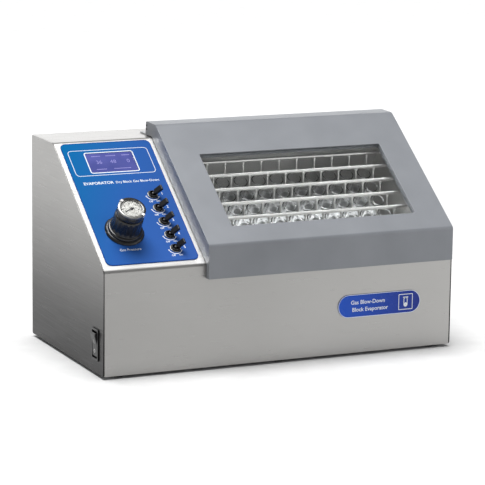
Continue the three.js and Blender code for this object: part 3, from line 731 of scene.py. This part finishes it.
# ---- Hinges ------------------------------------------------------------------------------
# Two zinc-plated butt hinges behind the lid, with 3.6 mm pins and pan-head screws, hold the
# hood to the cabinet's top.
def pan_screw(radius, height):
    """One pan-head screw in mm on Z, with a cross recess cut in its crown."""
    dome = eased([(radius, 0), (radius * 0.97, height * 0.5), (radius * 0.5, height)], 0.6, 3, False)
    crown = dome + [(radius * 0.3, height * 0.98), (radius * 0.18, height * 0.35)]

    def cross(angle, level):
        return -radius * 0.12 * (level < height * 0.5 and math.cos(4 * angle) < 0)

    return lathe(crown + [(0.02, height * 0.3)], 16, False, cross)


for side in ("left", "right"):
    for leaf in ("fixed", "lid"):
        dressed(f"hinge_leaf_{leaf}_{side}", f"hinge_{leaf}_{side}", zinc, "zinc_steel", 0.3)
    repaint(f"hinge_pin_{side}", bright)

hinge_points = []
flange_points = []
for side in ("left", "right"):
    low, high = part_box(f"hinge_leaf_fixed_{side}")
    for share in (0.15, 0.5, 0.85):
        x = low.x + (high.x - low.x) * share
        hinge_points.append((x, high.y - 10 * MM, low.z + 2.2 * MM))
    low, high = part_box(f"hinge_leaf_lid_{side}")
    for share in (0.12, 0.88):
        x = low.x + (high.x - low.x) * share
        flange_points.append((x, low.y + 1.6 * MM, high.z - 7 * MM))
screw_mesh = moved(pan_screw(3.4, 2.1), TO_METRES)
deck_screws = repeated(screw_mesh, hinge_points, zinc)
fitted("hinge_screws_fixed", deck_screws, None, "root", "zinc_steel")
lid_screw_mesh = moved(pan_screw(2.8, 1.8), TO_METRES)
lid_screws = repeated(lid_screw_mesh, flange_points, zinc, (-math.pi / 2, 0, 0))
fitted("hinge_screws_lid", lid_screws, None, "lid", "zinc_steel")

side_screw = moved(pan_screw(1.7, 0.9), TO_METRES)
side_points = [(lid_low.x, lid_high.y - 5 * MM, z * MM) for z in (362.5, 369.2)]
side_screws = repeated(side_screw, side_points, rubber, (0, -math.pi / 2, 0))
fitted("lid_side_screws", side_screws, None, "lid", "rubber")


# ---- Console overlay ---------------------------------------------------------------------
# A polyester overlay, screen printed on its back, is stuck to the sloped console. The print
# runs from cyan blue at the top left to royal blue at the lower right, with white line work.
SLOPE = math.radians(36.594)
console = (
    put(CABINET_X, cover_low.y, CONSOLE_FOOT)
    @ Matrix.Rotation(SLOPE, 4, "X")
    @ TO_METRES
)
FILM = 1.1
PRINT = 0.09
OVERLAY = (-307.5, 11.5, -146.5, 285.5)


def printed_polyester(name, colour, roughness=0.2):
    """Printed polyester film: flat ink under a fairly glossy skin with a 0.7 mm pebble."""
    finish, tree, surface = new_finish(
        name, {"IOR": 1.5, "Specular IOR Level": 0.04, "Base Color": shade(colour)}
    )
    pebble = streaks(tree, [0.7] * 3, 1)
    tree.links.new(
        spread(tree, pebble, roughness - 0.04, roughness + 0.05), surface.inputs["Roughness"]
    )
    return finish, tree, surface


def blue_gradient():
    """The overlay's ink: a slanted gradient on Object coordinates from cyan to royal blue."""
    finish, tree, surface = printed_polyester("overlay_blue_print", "#2A6FBE")
    parts = position(tree)
    low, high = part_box("overlay_panel")
    across = carried(tree, parts[0], low.x, high.x, 0, 0.55)
    down = carried(tree, parts[2], high.z, low.z, 0, 0.45)
    share = calculated(tree, "ADD", across, down)
    ink = add_node(tree, "ShaderNodeValToRGB", {}, {0: share})
    ramp = ink.color_ramp.elements
    ramp[0].color = shade("#03629A")
    ramp[1].color = shade("#35589E")
    middle = ramp.new(0.5)
    middle.color = shade("#2A579D")
    tree.links.new(ink.outputs[0], surface.inputs["Base Color"])
    return finish


def corner_box(x0, y0, x1, y1, radius, steps=7):
    """The outline of a rectangle with round corners."""
    return eased([(x0, y0, 0), (x1, y0, 0), (x1, y1, 0), (x0, y1, 0)], radius, steps)


def line_frame(box, radius, width, bottom, top):
    """A printed line of even width round a box."""
    x0, y0, x1, y1 = box
    outer = corner_box(x0, y0, x1, y1, radius)
    inner = corner_box(x0 + width, y0 + width, x1 - width, y1 - width, max(radius - width, 0.2))
    loops = [
        [(p.x, p.y, level) for p in path]
        for path, level in ((outer, bottom), (outer, top), (inner, top), (inner, bottom))
    ]
    return skin(loops, True)


def part_ring(profile, first, last, steps=40):
    """A ring of one profile between two angles in degrees, with flat ends."""
    loops = []
    for k in range(steps + 1):
        angle = math.radians(first + (last - first) * k / steps)
        loops.append([(r * math.cos(angle), r * math.sin(angle), z) for r, z in profile])
    return skin(loops)


def arc_print(x, s, outer, inner, first, last):
    """A printed arc line about a point on the film, between two angles in degrees."""
    section = [(outer, FILM), (outer, FILM + PRINT), (inner, FILM + PRINT), (inner, FILM)]
    return moved(part_ring(section, first, last, 28), put(x, s, 0))


def lettering(words, size, x, y, level, thickness=PRINT, bold=0.0):
    """Plain sans letters in mm, cut as a thin mesh that is centred at a point."""
    curve = bpy.data.curves.new("letters", "FONT")
    curve.body = words
    curve.size = size
    curve.align_x = "CENTER"
    curve.align_y = "CENTER"
    curve.extrude = thickness / 2
    curve.resolution_u = 3
    curve.offset = bold
    mesh = solidified(placed("letters", curve))
    return moved(mesh, put(x, y, level + thickness / 2))


repaint("overlay_panel", blue_gradient())
white_ink = printed_polyester("overlay_white_print", "#E4E8EC", 0.3)[0]
border_ink = printed_polyester("overlay_border_print", "#123E86")[0]
TOGGLE_X = -181
TOGGLE_PITCH = 30.2
toggle_s = [38 + TOGGLE_PITCH * (4 - i) for i in range(5)]
KNOB = (-255.5, 83)

border = line_frame(OVERLAY, 10, 1.1, FILM, FILM + PRINT)
fitted("overlay_border", moved(border, console), border_ink, "root", "overlay_print")

marks = [
    line_frame((-299, 209.7, -156.5, 268.8), 7, 1.0, FILM, FILM + PRINT),
    line_frame((-271.8, 214.7, -184.2, 263.0), 4.4, 1.7, FILM, FILM + PRINT),
    lettering("EVAPORATOR", 8.2, -266, 192.2, FILM, bold=0.14),
    lettering("Dry Block Gas Blow-Down", 7.0, -197, 192.0, FILM, bold=0.06),
    lettering("Gas Pressure", 7.0, -257.5, 42.4, FILM, bold=0.04),
]
for i, s in enumerate(toggle_s):
    marks.append(arc_print(TOGGLE_X - 0.6, s, 12.2, 11.0, 190, 338))
    marks.append(arc_print(TOGGLE_X - 0.6, s, 12.7, 10.5, 188, 196))
    marks.append(lettering("Off", 5.0, TOGGLE_X - 7.5, s - 14.9, FILM, bold=0.1))
    marks.append(lettering("On", 5.0, TOGGLE_X + 5.6, s - 14.6, FILM, bold=0.1))
    marks.append(lettering(str(i + 1), 7.6, TOGGLE_X + 17.4, s + 1.5, FILM, bold=0.08))
fitted("overlay_marks", moved(joined(marks), console), white_ink, "root", "overlay_print")


# ---- Display -----------------------------------------------------------------------------
# A back-lit graphic LCD sits just under the film. Its ground is violet blue, and its
# characters are a paler violet; figures only, with rules in place of words.
def lcd_ground():
    """A lit LCD cell: violet blue in soft patches 34 mm wide, with 0.9 mm pixel rows."""
    finish, tree, surface = new_finish("lcd_violet_ground", {"IOR": 1.5})
    rows = streaks(tree, [30, 0.9, 0.9], 1)
    cloud = streaks(tree, [34, 34, 34], 1)
    tree.links.new(two_tone(tree, cloud, "#3E4487", "#4D5197"), surface.inputs["Base Color"])
    tree.links.new(two_tone(tree, cloud, "#3E4487", "#4D5197"), surface.inputs["Emission Color"])
    surface.inputs["Emission Strength"].default_value = 0.03
    tree.links.new(spread(tree, rows, 0.16, 0.24), surface.inputs["Roughness"])
    return finish


def lcd_ink():
    """The lit characters of the cell, a soft pale violet that glows a little."""
    finish, tree, surface = new_finish("lcd_pale_figures", {"Roughness": 0.3})
    cloud = streaks(tree, [20, 20, 20], 1)
    tree.links.new(two_tone(tree, cloud, "#7673B4", "#8683C2"), surface.inputs["Base Color"])
    surface.inputs["Emission Color"].default_value = shade("#8683C2")
    surface.inputs["Emission Strength"].default_value = 0.05
    return finish


dressed("display_module", "display_cell", lcd_ground(), "display_face", 0.2)
FACE = 0.5
figures = [
    lettering("36", 11, -250, 240, FACE, 0.08),
    lettering("48", 11, -225, 240, FACE, 0.08),
    lettering("0", 11, -198, 240, FACE, 0.08),
]
for x, s, width in (
    (-252, 254, 16), (-226, 254, 18), (-199, 254, 14), (-250, 224, 18), (-213, 224, 30),
):
    rule = (x - width / 2, s - 0.8, x + width / 2, s + 0.8)
    figures.append(line_frame(rule, 0.3, 0.7, FACE, FACE + 0.08))
fitted("display_figures", moved(joined(figures), console), lcd_ink(), "root", "display_face")
repaint("control_board", moulded("solder_mask_green", "#1E5634", "#2A6B40", 0.4, 2))


# ---- Toggle valves -----------------------------------------------------------------------
# Five small toggle valves, one for each bar: a black threaded bushing in a nickel dress ring,
# and a flat black paddle that leans left for off and right for on.
black = moulded("black_moulded_nylon", "#0D0D0E", "#161618", 0.36, 0.9)
repaint("toggle_valves", black)
nut_section = eased([(6.3, 1.3), (7.6, 1.3), (7.6, 3.1), (6.3, 3.1)], 0.4, 2)
thread_section = [
    (5.7, 3.0), (6.9, 3.0), (6.9, 3.5), (6.6, 3.8), (6.9, 4.1), (6.6, 4.5), (6.85, 4.8),
    (6.4, 5.2), (5.7, 5.2),
]
bushing = joined([lathe(section, 36, True) for section in (nut_section, thread_section)])
bushing_points = [console @ Vector((TOGGLE_X, s, 0)) for s in toggle_s]
bushings = repeated(moved(bushing, TO_METRES), bushing_points, black, (SLOPE, 0, 0))
bushings.set_sharp_from_angle(angle=math.radians(34))
fitted("toggle_bushings", bushings, None, "root", "black_plastic")


def satin_nickel():
    """Satin nickel plate: a mid grey metal, with soft patches 9 mm wide left by its polishing."""
    tones = ("#777775", "#8B8B89")
    return even_metal("satin_nickel_plate", [9, 9, 9], 3, tones, (0.26, 0.36))


nickel = satin_nickel()
dress_profile = eased([(7.7, 1.15), (9.1, 1.15), (9.1, 1.9), (8.6, 2.4), (7.7, 2.4)], 0.4, 3)
dress_ring = moved(lathe(dress_profile, 48, True), TO_METRES)
dress_rings = repeated(dress_ring, bushing_points, nickel, (SLOPE, 0, 0))
fitted("toggle_dress_rings", dress_rings, None, "root", "bright_tube")
for i in range(1, 6):
    dressed(f"toggle_lever_{i}", f"toggle_paddle_{i}", black, "black_plastic", 0.8, 3)


# ---- Pressure regulator ------------------------------------------------------------------
# A panel-mounted regulator: an aluminium body behind the sheet, a black ring nut, and a
# fluted acetal knob that turns round a fixed 45 mm gauge.
at_knob = console @ put(KNOB[0], KNOB[1], 0)
repaint("regulator_body", aluminium)
nut_profile = eased([(18.6, 1.4), (33, 1.4), (33, 3.2), (31, 5.2), (29.2, 6), (18.6, 6)], 0.6, 3)


def nut_notches(angle, level):
    return -0.7 * (math.cos(6 * angle) > 0.8 and level > 1.6)


nut = moved(lathe(nut_profile, 96, True, nut_notches), at_knob)
fitted("regulator_ring_nut", nut, black, "root", "black_plastic", "regulator_nut")

acetal = moulded("black_acetal_knob", "#0C0C0D", "#151516", 0.27, 1.4, 0.02)
knob_profile = eased(
    [
        (8, 13), (19.4, 13), (19.4, 6.3), (28.6, 6.3), (29, 7.2), (28, 10.2), (25.6, 10.8),
        (25, 13), (24.6, 15), (24.2, 36), (23.8, 38.6), (22.6, 41), (8, 41),
    ],
    0.7,
    3,
)


def flutes(angle, level):
    """Eighteen shallow finger flutes that fade out near both ends of the knob's grip."""
    fade = max(0, min(1, (level - 13) / 3)) * max(0, min(1, (38.5 - level) / 2.5))
    return -0.7 * fade * (0.5 + 0.5 * math.cos(18 * angle)) ** 2 * (level > 12.9)


grip = [(24.6 - 0.4 * k / 8, 15 + 21 * k / 8) for k in range(1, 8)]
split = next(i for i, p in enumerate(knob_profile) if p[1] > 20)
knob_path = knob_profile[:split] + grip + knob_profile[split:]
knob = moved(lathe(knob_path, 180, True, flutes), at_knob)
fitted("regulator_grip", knob, acetal, "regulator_knob", "black_plastic", "regulator_knob")


# ---- Pressure gauge ----------------------------------------------------------------------
# A 45 mm dial gauge on the regulator's spindle: black case, satin bezel, a black arc over
# the bezel's upper right half that is a painted reflection of dark surroundings, two clips at
# the arc's ends, pale enamelled dial with black figures, and a slim black hand.
case_profile = eased(
    [
        (1.4, 41.3), (22.2, 41.3), (22.6, 43), (22.6, 54.6), (22.2, 55), (21.2, 55),
        (20.8, 54.6), (20.8, 50), (1.4, 50),
    ],
    0.4,
    2,
)
case = moved(lathe(case_profile, 72, True), at_knob)
fitted("gauge_cup", case, acetal, "root", "black_plastic", "gauge_case")
bezel_profile = eased(
    [
        (18.0, 52.6), (20.5, 52.6), (20.5, 54.6), (22.65, 54.95), (22.65, 52.2), (22.9, 52.2),
        (22.9, 55.0), (22.5, 55.45), (18.9, 55.75), (18.0, 55.3),
    ],
    0.3,
    2,
)
bezel = moved(lathe(bezel_profile, 72, True), at_knob)
fitted("gauge_ring", bezel, nickel, "root", "bright_tube", "gauge_bezel")
CLIP_ANGLES = (-47, 124)
# A black arc over the bezel's upper right half: a painted reflection, a dark part put where the satin
# bezel mirrors dark surroundings.
painted_reflection_arc_profile = eased(
    [
        (19.0, 55.85), (22.95, 55.55), (22.95, 52.4), (23.3, 52.4), (23.3, 55.6), (22.7, 56.2),
        (19.0, 56.2),
    ],
    0.2,
    2,
)
painted_reflection_arc = part_ring(painted_reflection_arc_profile, *CLIP_ANGLES)
fitted("gauge_keeper", moved(painted_reflection_arc, at_knob), acetal, "root", "black_plastic")
clips = []
clip_outline = [
    (19.2, 56.3), (19.2, 55.85), (22.9, 55.7), (23.35, 55.3), (23.35, 50), (23.8, 50),
    (23.8, 55.7), (23.1, 56.4),
]
for angle in CLIP_ANGLES:
    strip = skin([[(r, y, z) for r, z in clip_outline] for y in (-2.3, -2.0, 2.0, 2.3)])
    clips.append(moved(strip, Matrix.Rotation(math.radians(angle), 4, "Z")))
fitted("gauge_clips", moved(joined(clips), at_knob), bright, "root", "bright_tube")

DIAL = 53.3
dial_ink = moulded("white_enamelled_dial", "#8C8C88", "#959591", 0.3, 1.5, 0.01)
dial_profile = [(1.6, DIAL - 0.3), (18.6, DIAL - 0.3), (18.6, DIAL), (1.6, DIAL)]
dial = moved(lathe(dial_profile, 64, True), at_knob)
fitted("gauge_dial", dial, dial_ink, "root", "black_plastic")


def copies_round_ring_tree():
    """The mesh that holds the modifier, turned about Z again and again by an even step."""
    tree, given = tree_with(
        "copies_round_ring",
        {"Count": "Int", "First Angle": "Float", "Step": "Float", "Finish": "Material"},
    )
    spots = add_node(tree, "GeometryNodeMeshLine", {}, {"Count": given["Count"], "Offset": (0, 0, 0)})
    index = add_node(tree, "GeometryNodeInputIndex").outputs[0]
    turned = calculated(tree, "MULTIPLY_ADD", index, given["Step"], given["First Angle"])
    angle = add_node(tree, "ShaderNodeCombineXYZ", {}, {"Z": turned})
    copies = add_node(
        tree,
        "GeometryNodeInstanceOnPoints",
        {},
        {"Points": spots.outputs[0], "Instance": given["Geometry"], "Rotation": angle.outputs[0]},
    )
    return end_tree(tree, copies.outputs[0], given["Finish"])


round_ring = copies_round_ring_tree()
ZERO = 204
SWEEP = 270
black_ink = printed_polyester("dial_black_print", "#111214", 0.4)[0]


def tick(inner, outer, width):
    corners = [(inner, -width), (outer, -width), (outer, width), (inner, width)]
    return skin([[(x, y, level) for x, y in corners] for level in (DIAL, DIAL + 0.08)])


def ticks(inner, outer, width, count):
    values = {
        "Count": count,
        "First Angle": math.radians(ZERO - SWEEP),
        "Step": math.radians(SWEEP / (count - 1)),
        "Finish": black_ink,
    }
    return grown(round_ring, tick(inner, outer, width), values)


dial_marks = [ticks(14.6, 17.4, 0.22, 11), ticks(16.0, 17.4, 0.1, 51)]
for k in range(6):
    angle = math.radians(ZERO - SWEEP * k / 5)
    x, y = 11.6 * math.cos(angle), 11.6 * math.sin(angle)
    dial_marks.append(lettering(str(k * 2), 4.2, x, y, DIAL, 0.08))
fitted("gauge_marks", moved(joined(dial_marks), at_knob), black_ink, "root", "black_plastic")

hub_profile = eased(
    [(0.3, 48), (0.9, 48), (0.9, 53.4), (2.5, 53.45), (2.5, 54.0), (1.7, 54.3), (0.3, 54.3)],
    0.2,
    2,
    False,
)
hub = lathe(hub_profile, 24)
hand_outline = [(-5, -1.2), (-5, 1.2), (6, 0.8), (14.3, 0.35), (14.3, -0.35), (6, -0.8)]
hand = skin([[(x, y, level) for x, y in hand_outline] for level in (53.6, 53.95)])
hand = moved(hand, Matrix.Rotation(math.radians(ZERO), 4, "Z"))
pointer = moved(joined([hub, hand]), at_knob)
fitted("gauge_hand", pointer, black, "gauge_needle", "black_plastic", "gauge_needle")
crystal = clear_glass("gauge_crystal", "#FEFEFE", 0.01)
lens_profile = [(0.4, 54.6), (17.8, 54.6), (17.8, 55.0), (12, 55.25), (0.4, 55.4)]
lens = moved(lathe(lens_profile, 64), at_knob)
fitted("gauge_window", lens, crystal, "root", "clear_glass", "gauge_lens")


# ---- Power switch ------------------------------------------------------------------------
# A snap-in rocker switch low on the left side panel: black bezel and rocker, moulded
# in polyamide, with the usual bar and ring moulded white for on and off.
gloss_black = moulded("black_polyamide_gloss", "#0A0A0B", "#101012", 0.34, 2.4, 0.015)
dressed("switch_bezel", "switch_frame", gloss_black, "black_plastic", 0.6, 3)
dressed("power_rocker", "switch_rocker", gloss_black, "black_plastic", 0.9, 3)
face_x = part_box("power_rocker")[0].x
rocker_middle = middle("power_rocker")
legend_ink = moulded("moulded_white_legend", "#D8D8D6", "#E2E2E0", 0.45, 1.5, 0.01)
side_view = Matrix(((0, 0, -1, 0), (-1, 0, 0, 0), (0, 1, 0, 0), (0, 0, 0, 1)))
bar_mark = line_frame((-0.5, -3.4, 0.5, 3.4), 0.2, 0.45, 0, 0.1)
ring_mark = lathe([(2.9, 0), (2.9, 0.1), (2.1, 0.1), (2.1, 0)], 40, True)
bar_spot = put(face_x + 2.75 * MM, rocker_middle.y, rocker_middle.z + 5 * MM)
ring_spot = put(face_x + 4.15 * MM, rocker_middle.y, rocker_middle.z - 11 * MM)
bar_tilt = Matrix.Rotation(math.radians(-14.3), 4, "Y")
scaled_side = side_view @ TO_METRES
legends = joined(
    [
        moved(bar_mark, bar_spot @ bar_tilt @ scaled_side),
        moved(ring_mark, ring_spot @ scaled_side),
    ]
)
fitted("switch_legends", legends, legend_ink, "power_rocker", "black_plastic")


# ---- Front badge -------------------------------------------------------------------------
# A domed resin badge on the front: a printed stadium, blue above and deep violet blue at the
# lower right, with a pale rim, plain words and a square mark of a sample tube.
badge_low, badge_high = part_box("front_badge")
badge_middle = middle("front_badge")
badge_plane = (
    put(badge_middle.x, badge_high.y, badge_middle.z)
    @ Matrix.Rotation(math.pi / 2, 4, "X")
    @ TO_METRES
)


def badge_blue():
    """Blue ink under clear doming resin, which makes it deep, wet and a little uneven."""
    finish, tree, surface = new_finish(
        "domed_blue_badge", {"IOR": 1.5, "Specular IOR Level": 0.2, "Coat Weight": 0.05}
    )
    across = carried(tree, position(tree)[0], badge_low.x, badge_high.x)
    ink = add_node(tree, "ShaderNodeValToRGB", {}, {0: across})
    ramp = ink.color_ramp.elements
    ramp[0].color = shade("#1A52C0")
    ramp[1].color = shade("#1D2F86")
    tree.links.new(ink.outputs[0], surface.inputs["Base Color"])
    uneven = streaks(tree, [30, 30, 30], 2)
    tree.links.new(spread(tree, uneven, 0.22, 0.3), surface.inputs["Roughness"])
    return finish


def stadium(inset):
    half_x, half_y = 77.5 - inset, 19.5 - inset
    return corner_box(-half_x, -half_y, half_x, half_y, half_y, 12)


dome = [(0, 0.32), (0, 0.9), (0.35, 1.2), (1.1, 1.4), (4, 1.49)]
dome_loops = [[(p.x, p.y, level) for p in stadium(inset)] for inset, level in dome]
dome_mesh = moved(skin(dome_loops), badge_plane)
fitted("badge_dome", dome_mesh, badge_blue(), "root", "badge_print", "front_badge")
badge_rim = line_frame((-77.4, -19.4, 77.4, 19.4), 19.4, 1.3, 0.9, 1.38)
pale_rim = printed_polyester("badge_pale_rim", "#D3DDEE", 0.25)[0]
fitted("badge_rim", moved(badge_rim, badge_plane), pale_rim, "root", "badge_print")

WORDS = 1.5
badge_marks = [
    line_frame(box, radius, width, WORDS - 0.04, WORDS + 0.05)
    for box, radius, width in (
        ((36, -13.5, 63, 13.5), 1.2, 1.1),
        ((45.8, -8.5, 53.2, 7.5), 3.6, 1.1),
        ((44.6, 6.6, 54.4, 8.8), 0.6, 0.9),
        ((46.8, -7.4, 52.2, -1.2), 2.5, 2.4),
    )
]
badge_marks.append(lettering("Gas Blow-Down", 9.6, -22, 5.8, WORDS - 0.03, bold=0.12))
badge_marks.append(lettering("Block Evaporator", 9.6, -18, -6.6, WORDS - 0.03, bold=0.12))
marks_mesh = moved(joined(badge_marks), badge_plane)
fitted("badge_marks", marks_mesh, white_ink, "root", "badge_print")


# ---- Rear fittings -----------------------------------------------------------------------
# At the back are a spun exhaust collar for a vent hose, a brass gas inlet with a hexagon, an
# appliance inlet with three blades, and pan-head screws that hold the back panel.
collar_middle = middle("exhaust_collar")
rear_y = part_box("exhaust_collar")[0].y
rearward = Matrix.Rotation(-math.pi / 2, 4, "X") @ TO_METRES
collar_profile = eased(
    [
        (23.9, 0), (37.4, 0), (37.4, 2), (26.4, 2), (25.4, 3), (25.4, 15), (26.1, 16),
        (25.4, 17), (25.4, 20), (23.9, 20),
    ],
    0.6,
    3,
)
at_collar = put(collar_middle.x, rear_y, collar_middle.z) @ rearward
collar = moved(lathe(collar_profile, 72, True), at_collar)
fitted("exhaust_spigot", collar, steel_front, "root", "satin_stainless", "exhaust_collar")


def turned_brass():
    """Turned brass: warm yellow, with fine tool rings 1.2 mm apart and a soft gloss."""
    tones = ("#B8974E", "#CDAE66")
    return even_metal("turned_brass", [30, 1.2, 30], 2, tones, (0.22, 0.34))


brass = turned_brass()
dressed("gas_inlet_fitting", "gas_inlet", brass, "brass", 0.5)
gas_middle = middle("gas_inlet_fitting")
barb_profile = [
    (3.1, 5.6), (5.6, 5.6), (5.6, 6.4), (5.0, 8.0), (5.7, 8.1), (5.05, 10.4), (5.7, 10.5),
    (5.05, 12.8), (5.05, 13.9), (3.1, 13.9),
]
at_gas = put(gas_middle.x, rear_y, gas_middle.z) @ rearward
fitted("gas_barbs", moved(lathe(barb_profile, 40, True), at_gas), brass, "root", "brass")

dressed("power_inlet", "appliance_inlet", gloss_black, "black_plastic", 0.7, 3)
inlet_middle = middle("power_inlet")
blade_outline = ((-1, -2.1), (1, -2.1), (1, 2.1), (-1, 2.1))
blade = skin([[(x, y, level) for x, y in blade_outline] for level in (-12.5, 1.2, 1.7)])
blade_points = [
    (inlet_middle.x + x * MM, rear_y - 1 * MM, inlet_middle.z + z * MM)
    for x, z in ((-7, -1.6), (0, 1.8), (7, -1.6))
]
blades = repeated(moved(blade, TO_METRES), blade_points, bright, (-math.pi / 2, 0, 0))
fitted("inlet_blades", blades, None, "root", "bright_tube")

back_low, back_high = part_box("back_panel")
back_points = []
for share in (0.02, 0.26, 0.5, 0.74, 0.98):
    x = back_low.x + (back_high.x - back_low.x) * share
    for z in (back_low.z + 8 * MM, back_high.z - 8 * MM):
        back_points.append((x, back_high.y, z))
for share in (0.35, 0.65):
    height = back_low.z + (back_high.z - back_low.z) * share
    back_points.append((back_low.x + 13 * MM, back_high.y, height))
    back_points.append((back_high.x - 13 * MM, back_high.y, height))
FLANGE_RING = 32 * MM
for k in range(4):
    angle = math.pi / 4 + math.pi / 2 * k
    x = collar_middle.x + FLANGE_RING * math.cos(angle)
    z = collar_middle.z + FLANGE_RING * math.sin(angle)
    back_points.append((x, back_high.y + 2.3 * MM, z))
for x in (-20.5, 20.5):
    back_points.append((inlet_middle.x + x * MM, back_high.y + 3.3 * MM, inlet_middle.z))
rear_screw = moved(pan_screw(2.9, 1.9), TO_METRES)
rear_screws = repeated(rear_screw, back_points, bright, (-math.pi / 2, 0, 0))
fitted("rear_screws", rear_screws, None, "root", "bright_tube")


# ---- Studio ------------------------------------------------------------------------------
# A pale floor that runs to the horizon, a wide soft lamp overhead, a long low glow behind,
# a weak fill at the front right, and an even dim surround.
def sweep():
    """Matt white paper, with a barely visible fibre mottle 40 mm wide."""
    finish, tree, surface = new_finish("white_paper", {"Roughness": 0.9, "IOR": 1.3})
    mottle = streaks(tree, [40, 40, 40], 2)
    tree.links.new(two_tone(tree, mottle, "#CDCDCD", "#D2D2D2"), surface.inputs["Base Color"])
    return finish


floor = placed("floor", bpy.data.meshes.new("floor"))
floor.data.from_pydata([(-60, -60, 0), (60, -60, 0), (60, 60, 0), (-60, 60, 0)], [], [(0, 1, 2, 3)])
floor.data.materials.append(sweep())

world = bpy.data.worlds.new("studio")
world.use_nodes = True
surround = world.node_tree.nodes["Background"].inputs
surround["Color"].default_value = (1, 1, 1, 1)
surround["Strength"].default_value = 0.25
bpy.context.scene.world = world


def lit(name, kind, energy, pose, settings):
    """A lamp that the camera doesn't see."""
    lamp_data = bpy.data.lights.new(name, kind)
    lamp_data.energy = energy
    for key, value in settings.items():
        setattr(lamp_data, key, value)
    lamp = placed(name, lamp_data)
    lamp.visible_camera = False
    lamp.matrix_world = pose


def aimed(x, y, z):
    """Turned so that a lamp's back faces along a direction."""
    return Vector((x, y, z)).to_track_quat("Z", "Y").to_matrix().to_4x4()


lit("overhead", "SUN", 4.4, aimed(-0.1, 0.04, 1), {"angle": math.radians(36)})
glow_pose = put(0, 4.2, 1.5) @ Matrix.Rotation(math.radians(-78), 4, "X")
lit("rear_glow", "AREA", 60, glow_pose, {"shape": "RECTANGLE", "size": 7, "size_y": 1.6})
fill_pose = put(1.7, -1.5, 0.6) @ aimed(1.5, -1.5, 0.4)
lit("right_fill", "AREA", 8, fill_pose, {"shape": "DISK", "size": 1.2})
bpy.context.scene.view_settings.view_transform = "Standard"
